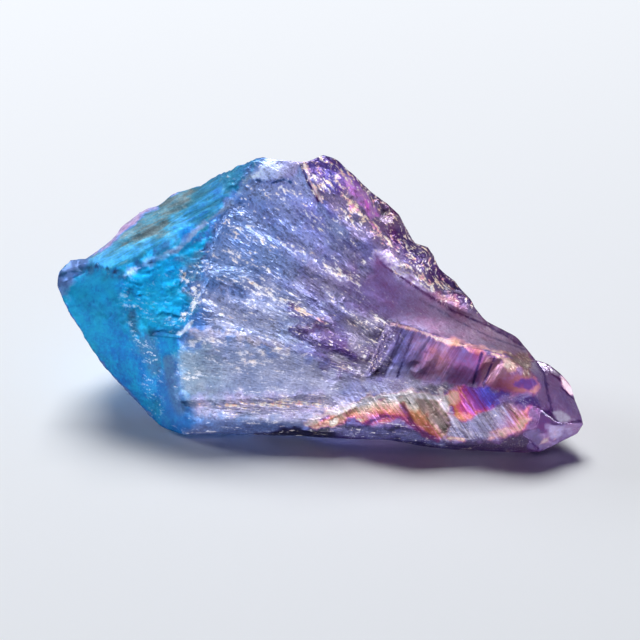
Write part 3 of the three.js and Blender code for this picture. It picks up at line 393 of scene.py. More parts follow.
# Narrow marks: seams, cracks and bright edges. Many are painted shade in grooves, gaps and creases and
# along the outlines, and the lip's bright edge is a painted highlight. width: half the mark's breadth.
# broken: how far it is in
# pieces. ragged: how much its width varies.
Mark = namedtuple("Mark", "line width film bare shade broken ragged", defaults=(0.0, 0.5))
MARKS = {
    # Painted highlight along the scoop's lip, in the thin coat's gold and cream.
    "bright lip": Mark([(8.2, 4.55), (9.5, 4.05), (11.5, 3.5)], 0.18, 0.1, 0.7, 1.1, 0.2, 1.2),
    "lip's thin start": Mark([(5.8, 5.25), (7.4, 4.85), (8.6, 4.45)], 0.1, 0.15, 0.6, 0.8, 0.3, 0.8),
    "lip's warm end": Mark(
        [(10.4, 3.9), (12.4, 3.35), (13.5, 3), (14.5, 2.7)], 0.34, 0.18, 0.35, 1.25, 0.5, 1.2,
    ),
    "lip's flare": Mark([(13.7, 2.9), (14.7, 2.4), (15.3, 1.7)], 0.28, 0.08, 0.6, 1.05, 0.3, 1.3),
    # Painted shade in the scoop's grooves.
    "first groove": Mark([(12.85, 2.9), (12.15, 0.5)], 0.13, 0.45, 0, 0.3),
    "second groove": Mark([(13.85, 2.6), (12.95, 0.45)], 0.11, 0.45, 0, 0.3),
    "left grooves": Mark([(5.95, 4.9), (4.55, 1.3)], 0.1, 0.5, 0.1, 0.24, 0.3),
    "middle grooves": Mark([(6.6, 4.8), (5.2, 1.1)], 0.08, 0.48, 0.1, 0.24, 0.4),
    "right grooves": Mark([(7.5, 4.5), (6.2, 1)], 0.09, 0.48, 0.1, 0.26, 0.4),
    "grooves at the end": Mark([(5.3, 4.4), (4.1, 1.6)], 0.08, 0.48, 0.1, 0.24, 0.4),
    # Painted shade along the smooth band's folds.
    "band's fold": Mark(
        [(4.9, 10.1), (8.1, 7.9), (10.8, 6.2), (13.5, 5.1), (16, 3.6)], 0.1, 0.42, 0, 0.31, 0.3,
    ),
    "band's second fold": Mark([(8, 7.2), (11, 5.5), (13.6, 4.2), (16.4, 3.2)], 0.07, 0.42, 0.2, 0.43, 0.4),
    # The magenta coat at the ledge's hem, darkened with painted shade under the ledge.
    "gold hem": Mark(GOLD_HEM, 0.14, 0.36, 0, 0.34, 0.3, 1.2),
    "ledge's pale brow": Mark(
        [(-0.9, -2.7), (0.4, -1.95), (2.1, -1.45), (4.2, -0.6), (7.2, -0.2), (9.5, -0.6)],
        0.3, 0.08, 0.9, 0.85, 0.2, 1,
    ),
    "band's hem": Mark(
        [(13.6, -3.5), (14.6, -3.2), (15.6, -2.8), (16.4, -2.3)], 0.34, 0.17, 0.45, 0.78, 0.5, 1.2,
    ),
    # Painted shade in a gap in the ledge.
    "gap in the ledge": Mark(
        [(6.6, -1.1), (7.2, -2.3), (7.9, -3.1), (8.6, -3.7)], 0.2, 0.36, 0, 0.25, 0.3, 1,
    ),
    "white twig": Mark([(10.3, -1.9), (11, -2.8), (11.9, -3.5)], 0.2, 0.4, 0.9, 0.86, 0.4, 1.4),
    "cream crumbs": Mark([(9.8, -3.5), (10.6, -3.75), (11.4, -3.85)], 0.2, 0.1, 0.4, 0.7, 0.6, 1.2),
    "fan's pale start": Mark([(9.6, -0.1), (9.9, -0.9), (10.2, -1.6)], 0.32, 0.12, 0.9, 0.75, 0.2, 1),
    # Painted shade in the gap under the hem.
    "gap under the hem": Mark(
        [(0.1, -3.9), (2.1, -3.8), (4.1, -4), (6.4, -4.2)], 0.14, 0.5, 0, 0.23, 0.3, 1,
    ),
    # Painted shade on the blue corner's lit edge.
    "blue corner's lit edge": Mark(
        [(-11.9, 2.4), (-11.6, 0.8), (-11.3, -0.5), (-10.9, -1.5)], 0.55, 0.8, 0.15, 0.34, 0, 0.2,
    ),
    # Painted shade in the crevice under the violet fold.
    "fold's crevice": Mark(
        [(-2.2, 4.8), (-0.8, 4), (0.5, 3.6), (1.6, 3.25), (2.9, 2.6)], 0.28, 0.5, 0.1, 0.4, 0.2, 1.2,
    ),
    "fold's pale foot": Mark(
        [(0.8, 2.75), (1.8, 2.4), (2.8, 1.7), (3.4, 0.9)], 0.3, 0.45, 0.7, 0.85, 0.6, 1.2,
    ),
    "ledge's gold crumbs": Mark(
        [(-0.4, -2.75), (0.9, -2.5), (2.2, -2.15), (3.4, -2.35)], 0.28, 0.06, 0.5, 0.9, 0.5, 1.4,
    ),
    "hollow's rim": Mark(
        [(-15.4, 9), (-13.4, 10.2), (-11, 11.3), (-9.5, 12.9), (-8, 14), (-6.6, 15.2), (-5.5, 16.9)],
        0.25, 0.82, 0.4, 1, 0.5, 1,
    ),
    # Painted shade: a dark rim along the crown's outline, and in its pits and crack.
    "crown's dark rim": Mark(
        [(-7.7, 17.5), (-6.9, 18.35), (-5.6, 18.85), (-4.2, 18.75)], 0.16, 0.84, 0, 0.25, 0.3, 1,
    ),
    "crown's pits": Mark(
        [(-4.9, 16.7), (-3.6, 16.45), (-2.6, 16.75), (-2.2, 16.5)], 0.13, 0.66, 0, 0.3, 0.8, 1,
    ),
    "crown's crack": Mark([(-1.4, 17.9), (-0.9, 16.6), (0, 15)], 0.1, 0.45, 0, 0.25, 0.2),
    "crown's twig": Mark([(-1.1, 17.9), (-0.65, 16.6), (0.3, 14.9)], 0.12, 0.1, 0.85, 1.2, 0.2, 0.8),
    # Painted light: the ridge's magenta coat, painted bright as a glow where the ridge lies in shade.
    "ridge's glow": Mark([(1.7, 17.1), (3.2, 15.7), (4.4, 13.9)], 0.55, 0.385, 0.1, 2.1, 0.4, 0.9),
    "bright chip": Mark([(-10.9, 4.4), (-10.3, 5), (-9.8, 5.6)], 0.2, 0.88, 0.7, 1.3, 0, 1.3),
    "facet's crest": Mark(
        [(-9.8, 4.6), (-8.4, 4.2), (-6.6, 4.6), (-4.6, 3.8), (-2.4, 3.2)], 0.35, 0.5, 0.9, 0.82, 0.7, 1.2,
    ),
    # Painted shade in the tip's creases and along its edges; the front edge is darkened where it would
    # catch a highlight.
    "tip's crease": Mark(
        [(17.4, -1.9), (18.3, -1.5), (18.3, -2.6), (18.8, -2.65), (20.6, -2.4)], 0.09, 0.45, 0, 0.35,
    ),
    "tip's front edge": Mark([(17.5, -1.5), (18.3, -2.1), (19.1, -2.7)], 0.12, 0.45, 0.1, 0.4),
    "tip's cheek line": Mark(
        [(17.2, 2.8), (17.8, 1.4), (18, -0.2), (18.3, -1.5)], 0.1, 0.45, 0.05, 0.39, 0.2, 0.8,
    ),
    "tip's roof line": Mark(
        [(17.1, 2.6), (18.5, 1.95), (19.5, 1.15), (20.2, 0.2), (20.6, -1), (21, -2.4)],
        0.14, 0.42, 0, 0.22, 0.2, 0.8,
    ),
    "roof window's rim": Mark(
        [(17.9, 2.1), (18.5, 1.2), (19.1, 0.9), (19.2, 0.2), (19.9, -0.5), (20.4, -0.9)],
        0.07, 0.42, 0, 0.27, 0.3, 0.8,
    ),
    # Painted shade: dark lines along the outlines of the ridge, the root and the horn.
    "ridge's dark edge": Mark(
        [(0.5, 18.65), (1.5, 18.3), (2.5, 17.5), (4.5, 15.6), (6.5, 13.9), (8.5, 11.5), (10.5, 9.1),
         (12.5, 6.7), (13.5, 5.45), (15.5, 4.2), (17.1, 3)],
        0.16, 0.42, 0, 0.35, 0.4, 1.2,
    ),
    "root's dark edge": Mark(
        [(-20.7, 9.6), (-20.8, 7.6), (-19.5, 5.5), (-18.5, 3.6), (-17.5, 2.15), (-15.5, 0.1), (-13.5, -2)],
        0.2, 0.7, 0.2, 0.4, 0.3, 1,
    ),
    "horn's dark rim": Mark(
        [(-20.5, 9.2), (-18.8, 9.65), (-17.6, 9.85), (-15.6, 9.2)], 0.16, 0.82, 0, 0.16, 0.4, 1.4,
    ),
    # Painted shade in the chin's crease.
    "chin's crease": Mark([(16.6, -3.9), (17.5, -4.8)], 0.08, 0.45, 0, 0.31),
    "flecks in the chin": Mark([(17.6, -4), (18.8, -3.6)], 0.3, 0.2, 0.7, 0.78, 1, 1),
}

# Bundles of fibres with more bright flecks on their crests, partly painted glints. The last three are added
# to the channels of those names.
Bundle = namedtuple("Bundle", "line width sparkle warm fibres", defaults=(0.0, 0.0))
BUNDLES = {
    "under the crown": Bundle([(-4.8, 16.1), (-3, 15.6), (-1.4, 14.8), (0.2, 12.9)], 0.6, 0.16),
    "long one": Bundle(
        [(-6.9, 13.3), (-4.1, 11.9), (-1.4, 11.1), (0.2, 10), (2, 8.9), (4.4, 7.8)], 0.65, 0.14,
    ),
    "short one": Bundle([(-6.8, 10.7), (-4.9, 10), (-3.3, 9.3)], 0.5, 0.14),
    "cream one": Bundle([(-6, 8.4), (-5.2, 7.9), (-3.3, 7.4), (-1.8, 7.2)], 0.5, 0.16),
    "granular patch": Bundle([(-5.5, 6.7), (-3.6, 6.4), (-1.8, 5.8)], 1, 0.12, -0.15),
    "salmon streak": Bundle([(-1.6, 6.4), (-0.7, 5.9), (0.4, 5.3)], 0.28, 0.25, 0.3),
    "on the crest": Bundle([(-9.8, 3.6), (-8.6, 4.3), (-6.6, 4.6), (-4.6, 4.9)], 0.6, 0.18, -0.15),
    "facet's thread": Bundle([(-6.5, 2.3), (-4.6, 2.1), (-2.4, 2.8)], 0.25, 0.22),
    "facet's second thread": Bundle([(-6.2, 3), (-4, 2.9), (-2.8, 3.4)], 0.2, 0.18),
    "before the scoop": Bundle([(0.2, 4.4), (2.4, 4.6), (5, 4.6)], 0.9, 0.02),
    "ridge's foot": Bundle([(1.6, 15.9), (3.4, 13.8), (5, 12.2), (6.2, 11.3)], 0.4, 0.16, 0.12),
    "low thread": Bundle([(-9.6, -1.3), (-6, -1.2), (-3, -1), (0.5, -1.2)], 0.35, 0.18, 0.15),
    "lowest thread": Bundle([(-9, -2), (-6, -1.9), (-3.5, -1.7)], 0.25, 0.04, 0.1),
    "crumbs on the blue face": Bundle(
        [(-15.3, 7.6), (-14.4, 4.6), (-13.6, 3), (-13.4, 1.6), (-13.5, 0.4), (-12.9, -1.2)],
        0.55, 0.12, -0.1, 0.15,
    ),
    "crumbs by the window": Bundle([(-13.1, 4.9), (-13, 3), (-12.5, 0.9)], 0.35, 0.1, 0, 0.15),
    "crumbs in the hollow": Bundle([(-14.4, 6.6), (-12.4, 5.4), (-10.9, 5.6)], 0.6, 0.1, 0, 0.15),
    "shell's rim": Bundle(
        [(-10.9, 9.3), (-9.9, 8.3), (-9.6, 7.3), (-9.9, 6.4), (-10.7, 5.7)], 0.35, 0.2, -0.1, 0.6,
    ),
}

# The back and the underside: blue at the root, through violet, to magenta at the tip.
BACK_ALONG = (-21, -14, -6, 4, 12, 21)  # X
BACK_PAINT = {
    "film": (0.9, 0.82, 0.7, 0.5, 0.43, 0.4),
    "bare": (0.08, 0.08, 0.16, 0.2, 0.2, 0.2),
    "shade": (0.95, 0.95, 0.9, 0.85, 0.8, 0.8),
    "fibres": (0.6, 0.6, 0.6, 0.6, 0.6, 0.3),
    "lumps": (0.4, 0.4, 0.4, 0.4, 0.4, 0.4),
    "pits": (0.3, 0.3, 0.2, 0.1, 0.1, 0.0),
    "sparkle": (-0.1, -0.1, -0.08, -0.08, -0.08, -0.1),
}

# How the paint strays from the drawing. A noise is given by its pitch in millimetres and its seed.
BACK_NOISE, BACK_DRIFT = (4.0, 11.0), 0.06  # this noise varies the back's film, by this much
RAGGED_NOISES = ((1.0, (1.1, 3.0)), (0.6, (0.5, 5.0)), (0.4, (0.28, 6.0)))  # with their strengths
GAP_NOISE, GAP_RANGE = (0.55, 7.0), (-0.1, 0.25)  # a broken mark is whole where the noise is over the range
OUTLINE_DRIFT = 0.15  # how far the crispest outline wanders, in millimetres
FRONT_RANGE = (-0.15, 0.12)  # the front's paint comes in as a face turns towards it through this range
MARK_FADE = (0.4, 1.3)  # a mark fades out between these shares of its width
BUNDLE_FADE = (0.2, 1.4)
BUNDLE_RAGGED = 0.5


# -------- small helpers
MATH = "ShaderNodeMath"
VECTOR_MATH = "ShaderNodeVectorMath"
MAP_RANGE = "ShaderNodeMapRange"
MIX = "ShaderNodeMix"
PAINTED = "ShaderNodeAttribute"
STORED = "GeometryNodeInputNamedAttribute"


def linear(hex_colour):
    """An sRGB hex colour as linear red, green, blue and full alpha."""
    parts = [int(hex_colour[i:i + 2], 16) / 255 for i in (1, 3, 5)]
    return tuple(c / 12.92 if c <= 0.04045 else ((c + 0.055) / 1.055) ** 2.4 for c in parts) + (1.0,)


def add(tree, kind, links=None, **settings):
    """Adds a node with its settings. An input is named, or numbered among those in use, and takes a value,
    a socket, or another node for that node's first output in use."""
    node = tree.nodes.new(kind)
    for name, value in settings.items():
        setattr(node, name, value)
    open_inputs = [socket for socket in node.inputs if socket.enabled]
    for key, value in (links or {}).items():
        by_name = (socket for socket in open_inputs if socket.name == key)
        socket = open_inputs[key] if isinstance(key, int) else next(by_name)
        if isinstance(value, bpy.types.Node):
            value = next(output for output in value.outputs if output.enabled)
        if isinstance(value, bpy.types.NodeSocket):
            tree.links.new(value, socket)
        else:
            socket.default_value = value
    return node


def growth_field(tree, place, pitch, detail, sharp=0.0, roughness=0.5):
    """Noise from 0 to 1 with its lumps this far apart, or with crests of that sharpness."""
    scale = add(tree, MATH, {0: 1.0, 1: pitch}, operation="DIVIDE")
    field = add(
        tree, "ShaderNodeTexNoise",
        {"Vector": place, "W": SEED, "Scale": scale, "Detail": detail, "Roughness": roughness},
        noise_dimensions="4D",
    )
    if sharp == 0.0:
        return field
    signed = add(tree, MATH, {0: field, 1: 0.5}, operation="SUBTRACT")
    away = add(tree, MATH, {0: signed}, operation="ABSOLUTE")
    crest = add(tree, MATH, {0: away, 1: -CREST_FALL, 2: 1.0}, operation="MULTIPLY_ADD", use_clamp=True)
    return add(tree, MATH, {0: crest, 1: sharp}, operation="POWER")


def built_up(tree, start, layers):
    """Adds each layer to the start: a field less its middle value, times a reach, times a mask."""
    total = start
    for field, middle, reach, mask in layers:
        signed = add(tree, MATH, {0: field, 1: middle}, operation="SUBTRACT")
        tall = add(tree, MATH, {0: signed, 1: reach}, operation="MULTIPLY")
        total = add(tree, MATH, {0: tall, 1: mask, 2: total}, operation="MULTIPLY_ADD")
    return total


def smoothstep(low, high, x):
    """Goes from 0 to 1 as x goes from low to high, with a smooth start and end."""
    share = np.clip((x - low) / (high - low), 0, 1)
    return share * share * (3 - 2 * share)


# -------- distances in the chart
def segment_distance(points, start, end):
    """Distance of each chart point from one straight stretch."""
    start, end = np.array(start), np.array(end)
    run = end - start
    share = np.clip((points - start) @ run / (run @ run), 0, 1)
    return np.linalg.norm(points - start - share[:, None] * run, axis=1)


def line_distance(points, line):
    """Distance of each chart point from a line of straight stretches."""
    return np.min([segment_distance(points, a, b) for a, b in zip(line, line[1:])], axis=0)


def inner_distance(points, outline):
    """Distance from a closed outline, counted positive inside it."""
    closed = outline + outline[:1]
    inside = np.zeros(len(points), bool)
    for (x0, y0), (x1, y1) in zip(closed, closed[1:]):
        if y0 == y1:
            continue
        crosses = (points[:, 1] > y0) != (points[:, 1] > y1)
        inside ^= crosses & (points[:, 0] < x0 + (points[:, 1] - y0) * (x1 - x0) / (y1 - y0))
    return line_distance(points, closed) * np.where(inside, 1, -1)


def line_mask(chart, line, width, fade):
    """1 on the line, fading out between these two shares of the width."""
    near, far = fade
    return (1 - smoothstep(near * width, far * width, line_distance(chart, line))) * (width > 0)


def share_of(zone, chart):
    """How far each place is along the zone's change: along a straight line, or away from an edge."""
    if zone.edge:
        return np.clip(line_distance(chart, zone.edge) / zone.reach, 0, 1)
    if not zone.along:
        return 0.0
    start, end = (np.array(point) for point in zone.along)
    run = end - start
    return np.clip((chart - start) @ run / (run @ run), 0, 1)


# -------- from solid to fine mesh
def crease(angle):
    """How sharp an edge of that bend stays, from 0 to 1."""
    return min(1.0, max(0.0, (math.degrees(angle) - SOFT_ANGLE) / (CRISP_ANGLE - SOFT_ANGLE)))


def smoothed_copy(node, name):
    """A copy of the CAD node's mesh, merged, with its facets' edges kept and the rest rounded off."""
    mesh = node.data.copy()
    shape = bmesh.new()
    shape.from_mesh(mesh)
    bmesh.ops.remove_doubles(shape, verts=shape.verts, dist=SAME_POINT * MM)
    layer = shape.edges.layers.float.new("crease_edge")
    for edge in shape.edges:
        edge[layer] = crease(edge.calc_face_angle(0.0))
    shape.to_mesh(mesh)
    shape.free()
    mesh.materials.clear()
    piece = bpy.data.objects.new(name, mesh)
    bpy.context.scene.collection.objects.link(piece)
    rounding = piece.modifiers.new("rounding", "SUBSURF")
    rounding.levels = SMOOTHING_LEVELS
    rounding.render_levels = SMOOTHING_LEVELS
    bake(piece)
    return piece


def bake(piece):
    """Turns what the modifiers make into the piece's own plain mesh."""
    evaluated = piece.evaluated_get(bpy.context.evaluated_depsgraph_get())
    mesh = bpy.data.meshes.new_from_object(evaluated)
    mesh.name = piece.name
    piece.modifiers.clear()
    piece.data = mesh


# -------- where each colour and relief lies
def wander(places, pitch, seed):
    """Smooth noise from -1 to 1 at each place."""
    shift = Vector((seed, 0, 0))
    return np.array([noise.noise(Vector(place) / pitch + shift) for place in places])


def blend_in(channels, names, wanted, mask, share_along=0.0):
    """Moves each channel towards what the zone or mark wants, as far as the mask says."""
    for name in names:
        start, end = np.broadcast_to(getattr(wanted, name), 2)
        value = start + (end - start) * share_along
        channels[name] += (value - channels[name]) * mask


def painted(places, chart, front):
    """Every channel's value on each point: the back, then the front's zones, marks and bundles over it."""
    channels = {
        name: np.interp(places[:, 0], BACK_ALONG, BACK_PAINT.get(name, np.zeros(len(BACK_ALONG))))
        for name in CHANNELS
    }
    channels["film"] += BACK_DRIFT * wander(places, *BACK_NOISE)

    ragged = sum(strength * wander(places, *layer) for strength, layer in RAGGED_NOISES)
    for zone in ZONES.values():
        depth = inner_distance(chart, zone.outline) + (OUTLINE_DRIFT + zone.soft) * ragged
        mask = smoothstep(-zone.soft, zone.soft, depth) * front
        blend_in(channels, CHANNELS, zone, mask, share_of(zone, chart))

    gaps = 1 - smoothstep(*GAP_RANGE, wander(places, *GAP_NOISE))
    for mark in MARKS.values():
        width = mark.width * (1 + mark.ragged * ragged)
        mask = line_mask(chart, mark.line, width, MARK_FADE) * (1 - mark.broken * gaps)
        blend_in(channels, MARKED, mark, mask * front)

    for bundle in BUNDLES.values():
        width = bundle.width * (1 + BUNDLE_RAGGED * ragged)
        mask = line_mask(chart, bundle.line, width, BUNDLE_FADE)
        for name in BUNDLED:
            channels[name] += getattr(bundle, name) * mask * front
    return channels


def line_spaces(chart):
    """The spaces that the steps and the growth lines run in: x along a step, or across the lines."""
    climb = np.array([math.cos(STEP_LEAN), math.sin(STEP_LEAN)])
    across = np.array([-climb[1], climb[0]])
    s, t = chart.T
    axes = (
        (chart @ climb / STEP_STRETCH, chart @ across),
        (s - SCOOP_LEAN * t, t / LINE_STRETCH),
        (s - LEDGE_LEAN * t, t / LINE_STRETCH),
    )
    return {name: np.stack([x, y, np.zeros(len(s))], axis=1) for name, (x, y) in zip(LINE_SPACES, axes)}


def read_vectors(points, name):
    values = np.empty(len(points) * 3)
    points.foreach_get(name, values)
    return values.reshape(-1, 3)


def paint_piece(piece):
    """Writes one number per channel, and the spaces of the lines, on every point of the mesh."""
    mesh = piece.data
    places = read_vectors(mesh.vertices, "co") / MM
    normals = read_vectors(mesh.vertices, "normal")
    up_slope = np.array([0, math.sin(FRONT_LEAN), math.cos(FRONT_LEAN)])
    outward = np.array([0, -math.cos(FRONT_LEAN), math.sin(FRONT_LEAN)])
    chart = np.stack([places[:, 0], places @ up_slope], axis=1)
    front = smoothstep(*FRONT_RANGE, normals @ outward)

    for name, vectors in line_spaces(chart).items():
        attribute = mesh.attributes.new(name, "FLOAT_VECTOR", "POINT")
        attribute.data.foreach_set("vector", (vectors * MM).astype(np.float32).ravel())
    for name, values in painted(places, chart, front).items():
        attribute = mesh.attributes.new(name, "FLOAT", "POINT")
        attribute.data.foreach_set("value", values.astype(np.float32))


# -------- growth relief, by Geometry Nodes
RELIEF_INPUTS = {"Grain Arm": GRAIN_ARM * MM, "Grain Stretch": GRAIN_STRETCH, "Flat Foot": FLAT_FOOT * MM}
for name, layer in RELIEF.items():
    RELIEF_INPUTS[name + " Pitch"] = layer.pitch * MM
    RELIEF_INPUTS[name + " Height"] = layer.height * MM


def growth_relief():
    """The tree that lifts and sinks the surface along its normals."""
    tree = bpy.data.node_groups.new("growth relief", "GeometryNodeTree")
    tree.interface.new_socket("Geometry", in_out="INPUT", socket_type="NodeSocketGeometry")
    tree.interface.new_socket("Coat", in_out="INPUT", socket_type="NodeSocketMaterial")
    tree.interface.new_socket("Grain Pole", in_out="INPUT", socket_type="NodeSocketVector")
    for name in RELIEF_INPUTS:
        tree.interface.new_socket(name, in_out="INPUT", socket_type="NodeSocketFloat")
    tree.interface.new_socket("Geometry", in_out="OUTPUT", socket_type="NodeSocketGeometry")
    given = add(tree, "NodeGroupInput").outputs

    # Fibre space: x runs along the fibres, y and z across them.
    place = add(tree, "GeometryNodeInputPosition")
    arm = add(tree, VECTOR_MATH, {0: place, 1: given["Grain Pole"]}, operation="SUBTRACT")
    reach = add(tree, VECTOR_MATH, {0: arm}, operation="LENGTH").outputs["Value"]
    heading = add(tree, VECTOR_MATH, {0: arm}, operation="NORMALIZE")
    heading = add(tree, VECTOR_MATH, {0: heading, "Scale": given["Grain Arm"]}, operation="SCALE")
    heading = add(tree, "ShaderNodeSeparateXYZ", {0: heading}).outputs
    along = add(tree, MATH, {0: reach, 1: given["Grain Stretch"]}, operation="DIVIDE")
    fibre = add(tree, "ShaderNodeCombineXYZ", {"X": along, "Y": heading["Y"], "Z": heading["Z"]})

    spaces = {"place": place, "fibre_place": fibre}
    for name in LINE_SPACES:
        spaces[name] = add(tree, STORED, {"Name": name}, data_type="FLOAT_VECTOR")
    layers = []
    for name, layer in RELIEF.items():
        field = growth_field(tree, spaces[layer.space], given[name + " Pitch"], layer.detail, layer.sharp)
        mask = add(tree, STORED, {"Name": layer.grows_by}, data_type="FLOAT") if layer.grows_by else 1.0
        layers.append((field, layer.middle, given[name + " Height"], mask))
    total = built_up(tree, 0.0, layers)

    # The relief fades out towards the flat foot.
    height = add(tree, "ShaderNodeSeparateXYZ", {0: place}).outputs["Z"]
    free = add(tree, MATH, {0: given["Flat Foot"], 1: FOOT_FADE}, operation="MULTIPLY")
    free = add(
        tree, MAP_RANGE, {"Value": height, "From Min": given["Flat Foot"], "From Max": free},
        interpolation_type="SMOOTHSTEP",
    )
    lift = add(tree, MATH, {0: total, 1: free}, operation="MULTIPLY")
    outward = add(tree, "GeometryNodeInputNormal")
    offset = add(tree, VECTOR_MATH, {0: outward, "Scale": lift}, operation="SCALE")

    stored = add(
        tree, "GeometryNodeStoreNamedAttribute",
        {"Geometry": given["Geometry"], "Name": "fibre_place", "Value": fibre},
        data_type="FLOAT_VECTOR", domain="POINT",
    )
    moved = add(tree, "GeometryNodeSetPosition", {"Geometry": stored, "Offset": offset})
    smooth = add(tree, "GeometryNodeSetShadeSmooth", {"Geometry": moved, "Shade Smooth": True})
    whole = add(tree, "GeometryNodeRealizeInstances", {"Geometry": smooth})
    coated = add(tree, "GeometryNodeSetMaterial", {"Geometry": whole, "Material": given["Coat"]})
    add(tree, "NodeGroupOutput", {0: coated})
    return tree


def grow_relief(piece, coat):
    """Runs the tree on the piece, with its inputs set by their identifiers, and keeps the plain mesh."""
    growth = piece.modifiers.new("growth relief", "NODES")
    growth.node_group = growth_relief()
    sockets = {
        item.name: item.identifier for item in growth.node_group.interface.items_tree
        if item.item_type == "SOCKET" and item.in_out == "INPUT"
    }
    growth[sockets["Coat"]] = coat
    growth[sockets["Grain Pole"]] = GRAIN_POLE * MM
    for name, value in RELIEF_INPUTS.items():
        growth[sockets[name]] = value
    bake(piece)


# -------- materials
# Interference colours of titanium oxide on quartz, from a thin coat to a thick one.
FILM_COLOURS = [
    (0.00, "#f8ecd0"), (0.09, "#f0cc90"), (0.18, "#e48a50"), (0.27, "#c84e70"), (0.35, "#a8409c"),
    (0.43, "#743c98"), (0.50, "#5c42ac"), (0.56, "#4c50c2"), (0.63, "#5074ca"), (0.70, "#3a80d8"),
    (0.78, "#0880d8"), (0.85, "#0098ce"), (0.92, "#0894b4"), (1.00, "#6c949c"),
]
# A fleck on a crest, where the coat is thin, with a painted glint: bluish white, white, cream, gold,
# pink, magenta.
CREST_COLOURS = [
    (0.0, "#d4e0fa"), (0.3, "#f8f8fc"), (0.5, "#fcf2e6"), (0.7, "#f8dabc"), (0.86, "#f2a8b8"),
    (1.0, "#cc80dc"),
]
BARE_QUARTZ = "#d6d4e4"
QUARTZ_BODY = "#8f86e8"  # violet, from the coat's light inside the stone
BODY_DENSITY = 60.0  # per metre
QUARTZ_IOR = 1.54
FLOOR_WHITE = "#ecefef"
BUMP_HEIGHT = 0.08  # millimetres

# From the fibres' height: where a crest turns to a pale fleck with a painted glint, and where the
# painted shade between two fibres is darkest.
PALE_CREST_AND_GLINT = {"From Min": 0.1, "From Max": 0.4}
PAINTED_CREVICE_SHADE = {"From Min": -0.32, "From Max": -0.04, "To Min": 1.0, "To Max": 0.0}
# From the film's thickness: a fleck's place among the crest colours.
WARMTH = {"From Min": 0.4, "From Max": 0.6, "To Min": 0.58, "To Max": 0.36}

# The shader's patterns. pitch: how far apart the lumps are, in millimetres.
Pattern = namedtuple("Pattern", "space pitch detail roughness sharp")
PATTERNS = {
    "fibre": Pattern("fibre_place", RELIEF["Fibre"].pitch, RELIEF["Fibre"].detail, 0.5, 0.0),
    "fine fibre": Pattern("fibre_place", 0.19, 2.0, 0.6, 0.0),
    "bundle": Pattern("fibre_place", 1.5, 2.0, 0.6, 0.0),
    "streak": Pattern("fibre_place", 1.1, 3.0, 0.6, 0.0),
    "step": Pattern("step_place", RELIEF["Step"].pitch, 5.0, 0.65, 1.5),
    "scoop line": Pattern("scoop_place", 0.26, 2.0, 0.7, 0.0),
    "ledge line": Pattern("ledge_place", 0.24, 2.0, 0.7, 0.0),
    "drift": Pattern("place", 1.9, 3.0, 0.6, 0.0),
    "haze": Pattern("place", 0.9, 4.0, 0.6, 0.0),
    "hue": Pattern("place", 0.45, 1.0, 0.5, 0.0),
    "grain": Pattern("place", 0.17, 2.0, 0.6, 0.0),
}


def fill_ramp(ramp, colours):
    """Gives a colour ramp these stops."""
    stops = ramp.color_ramp.elements
    while len(stops) < len(colours):
        stops.new(1.0)
    for stop, (position, colour) in zip(stops, colours):
        stop.position = position
        stop.color = linear(colour)


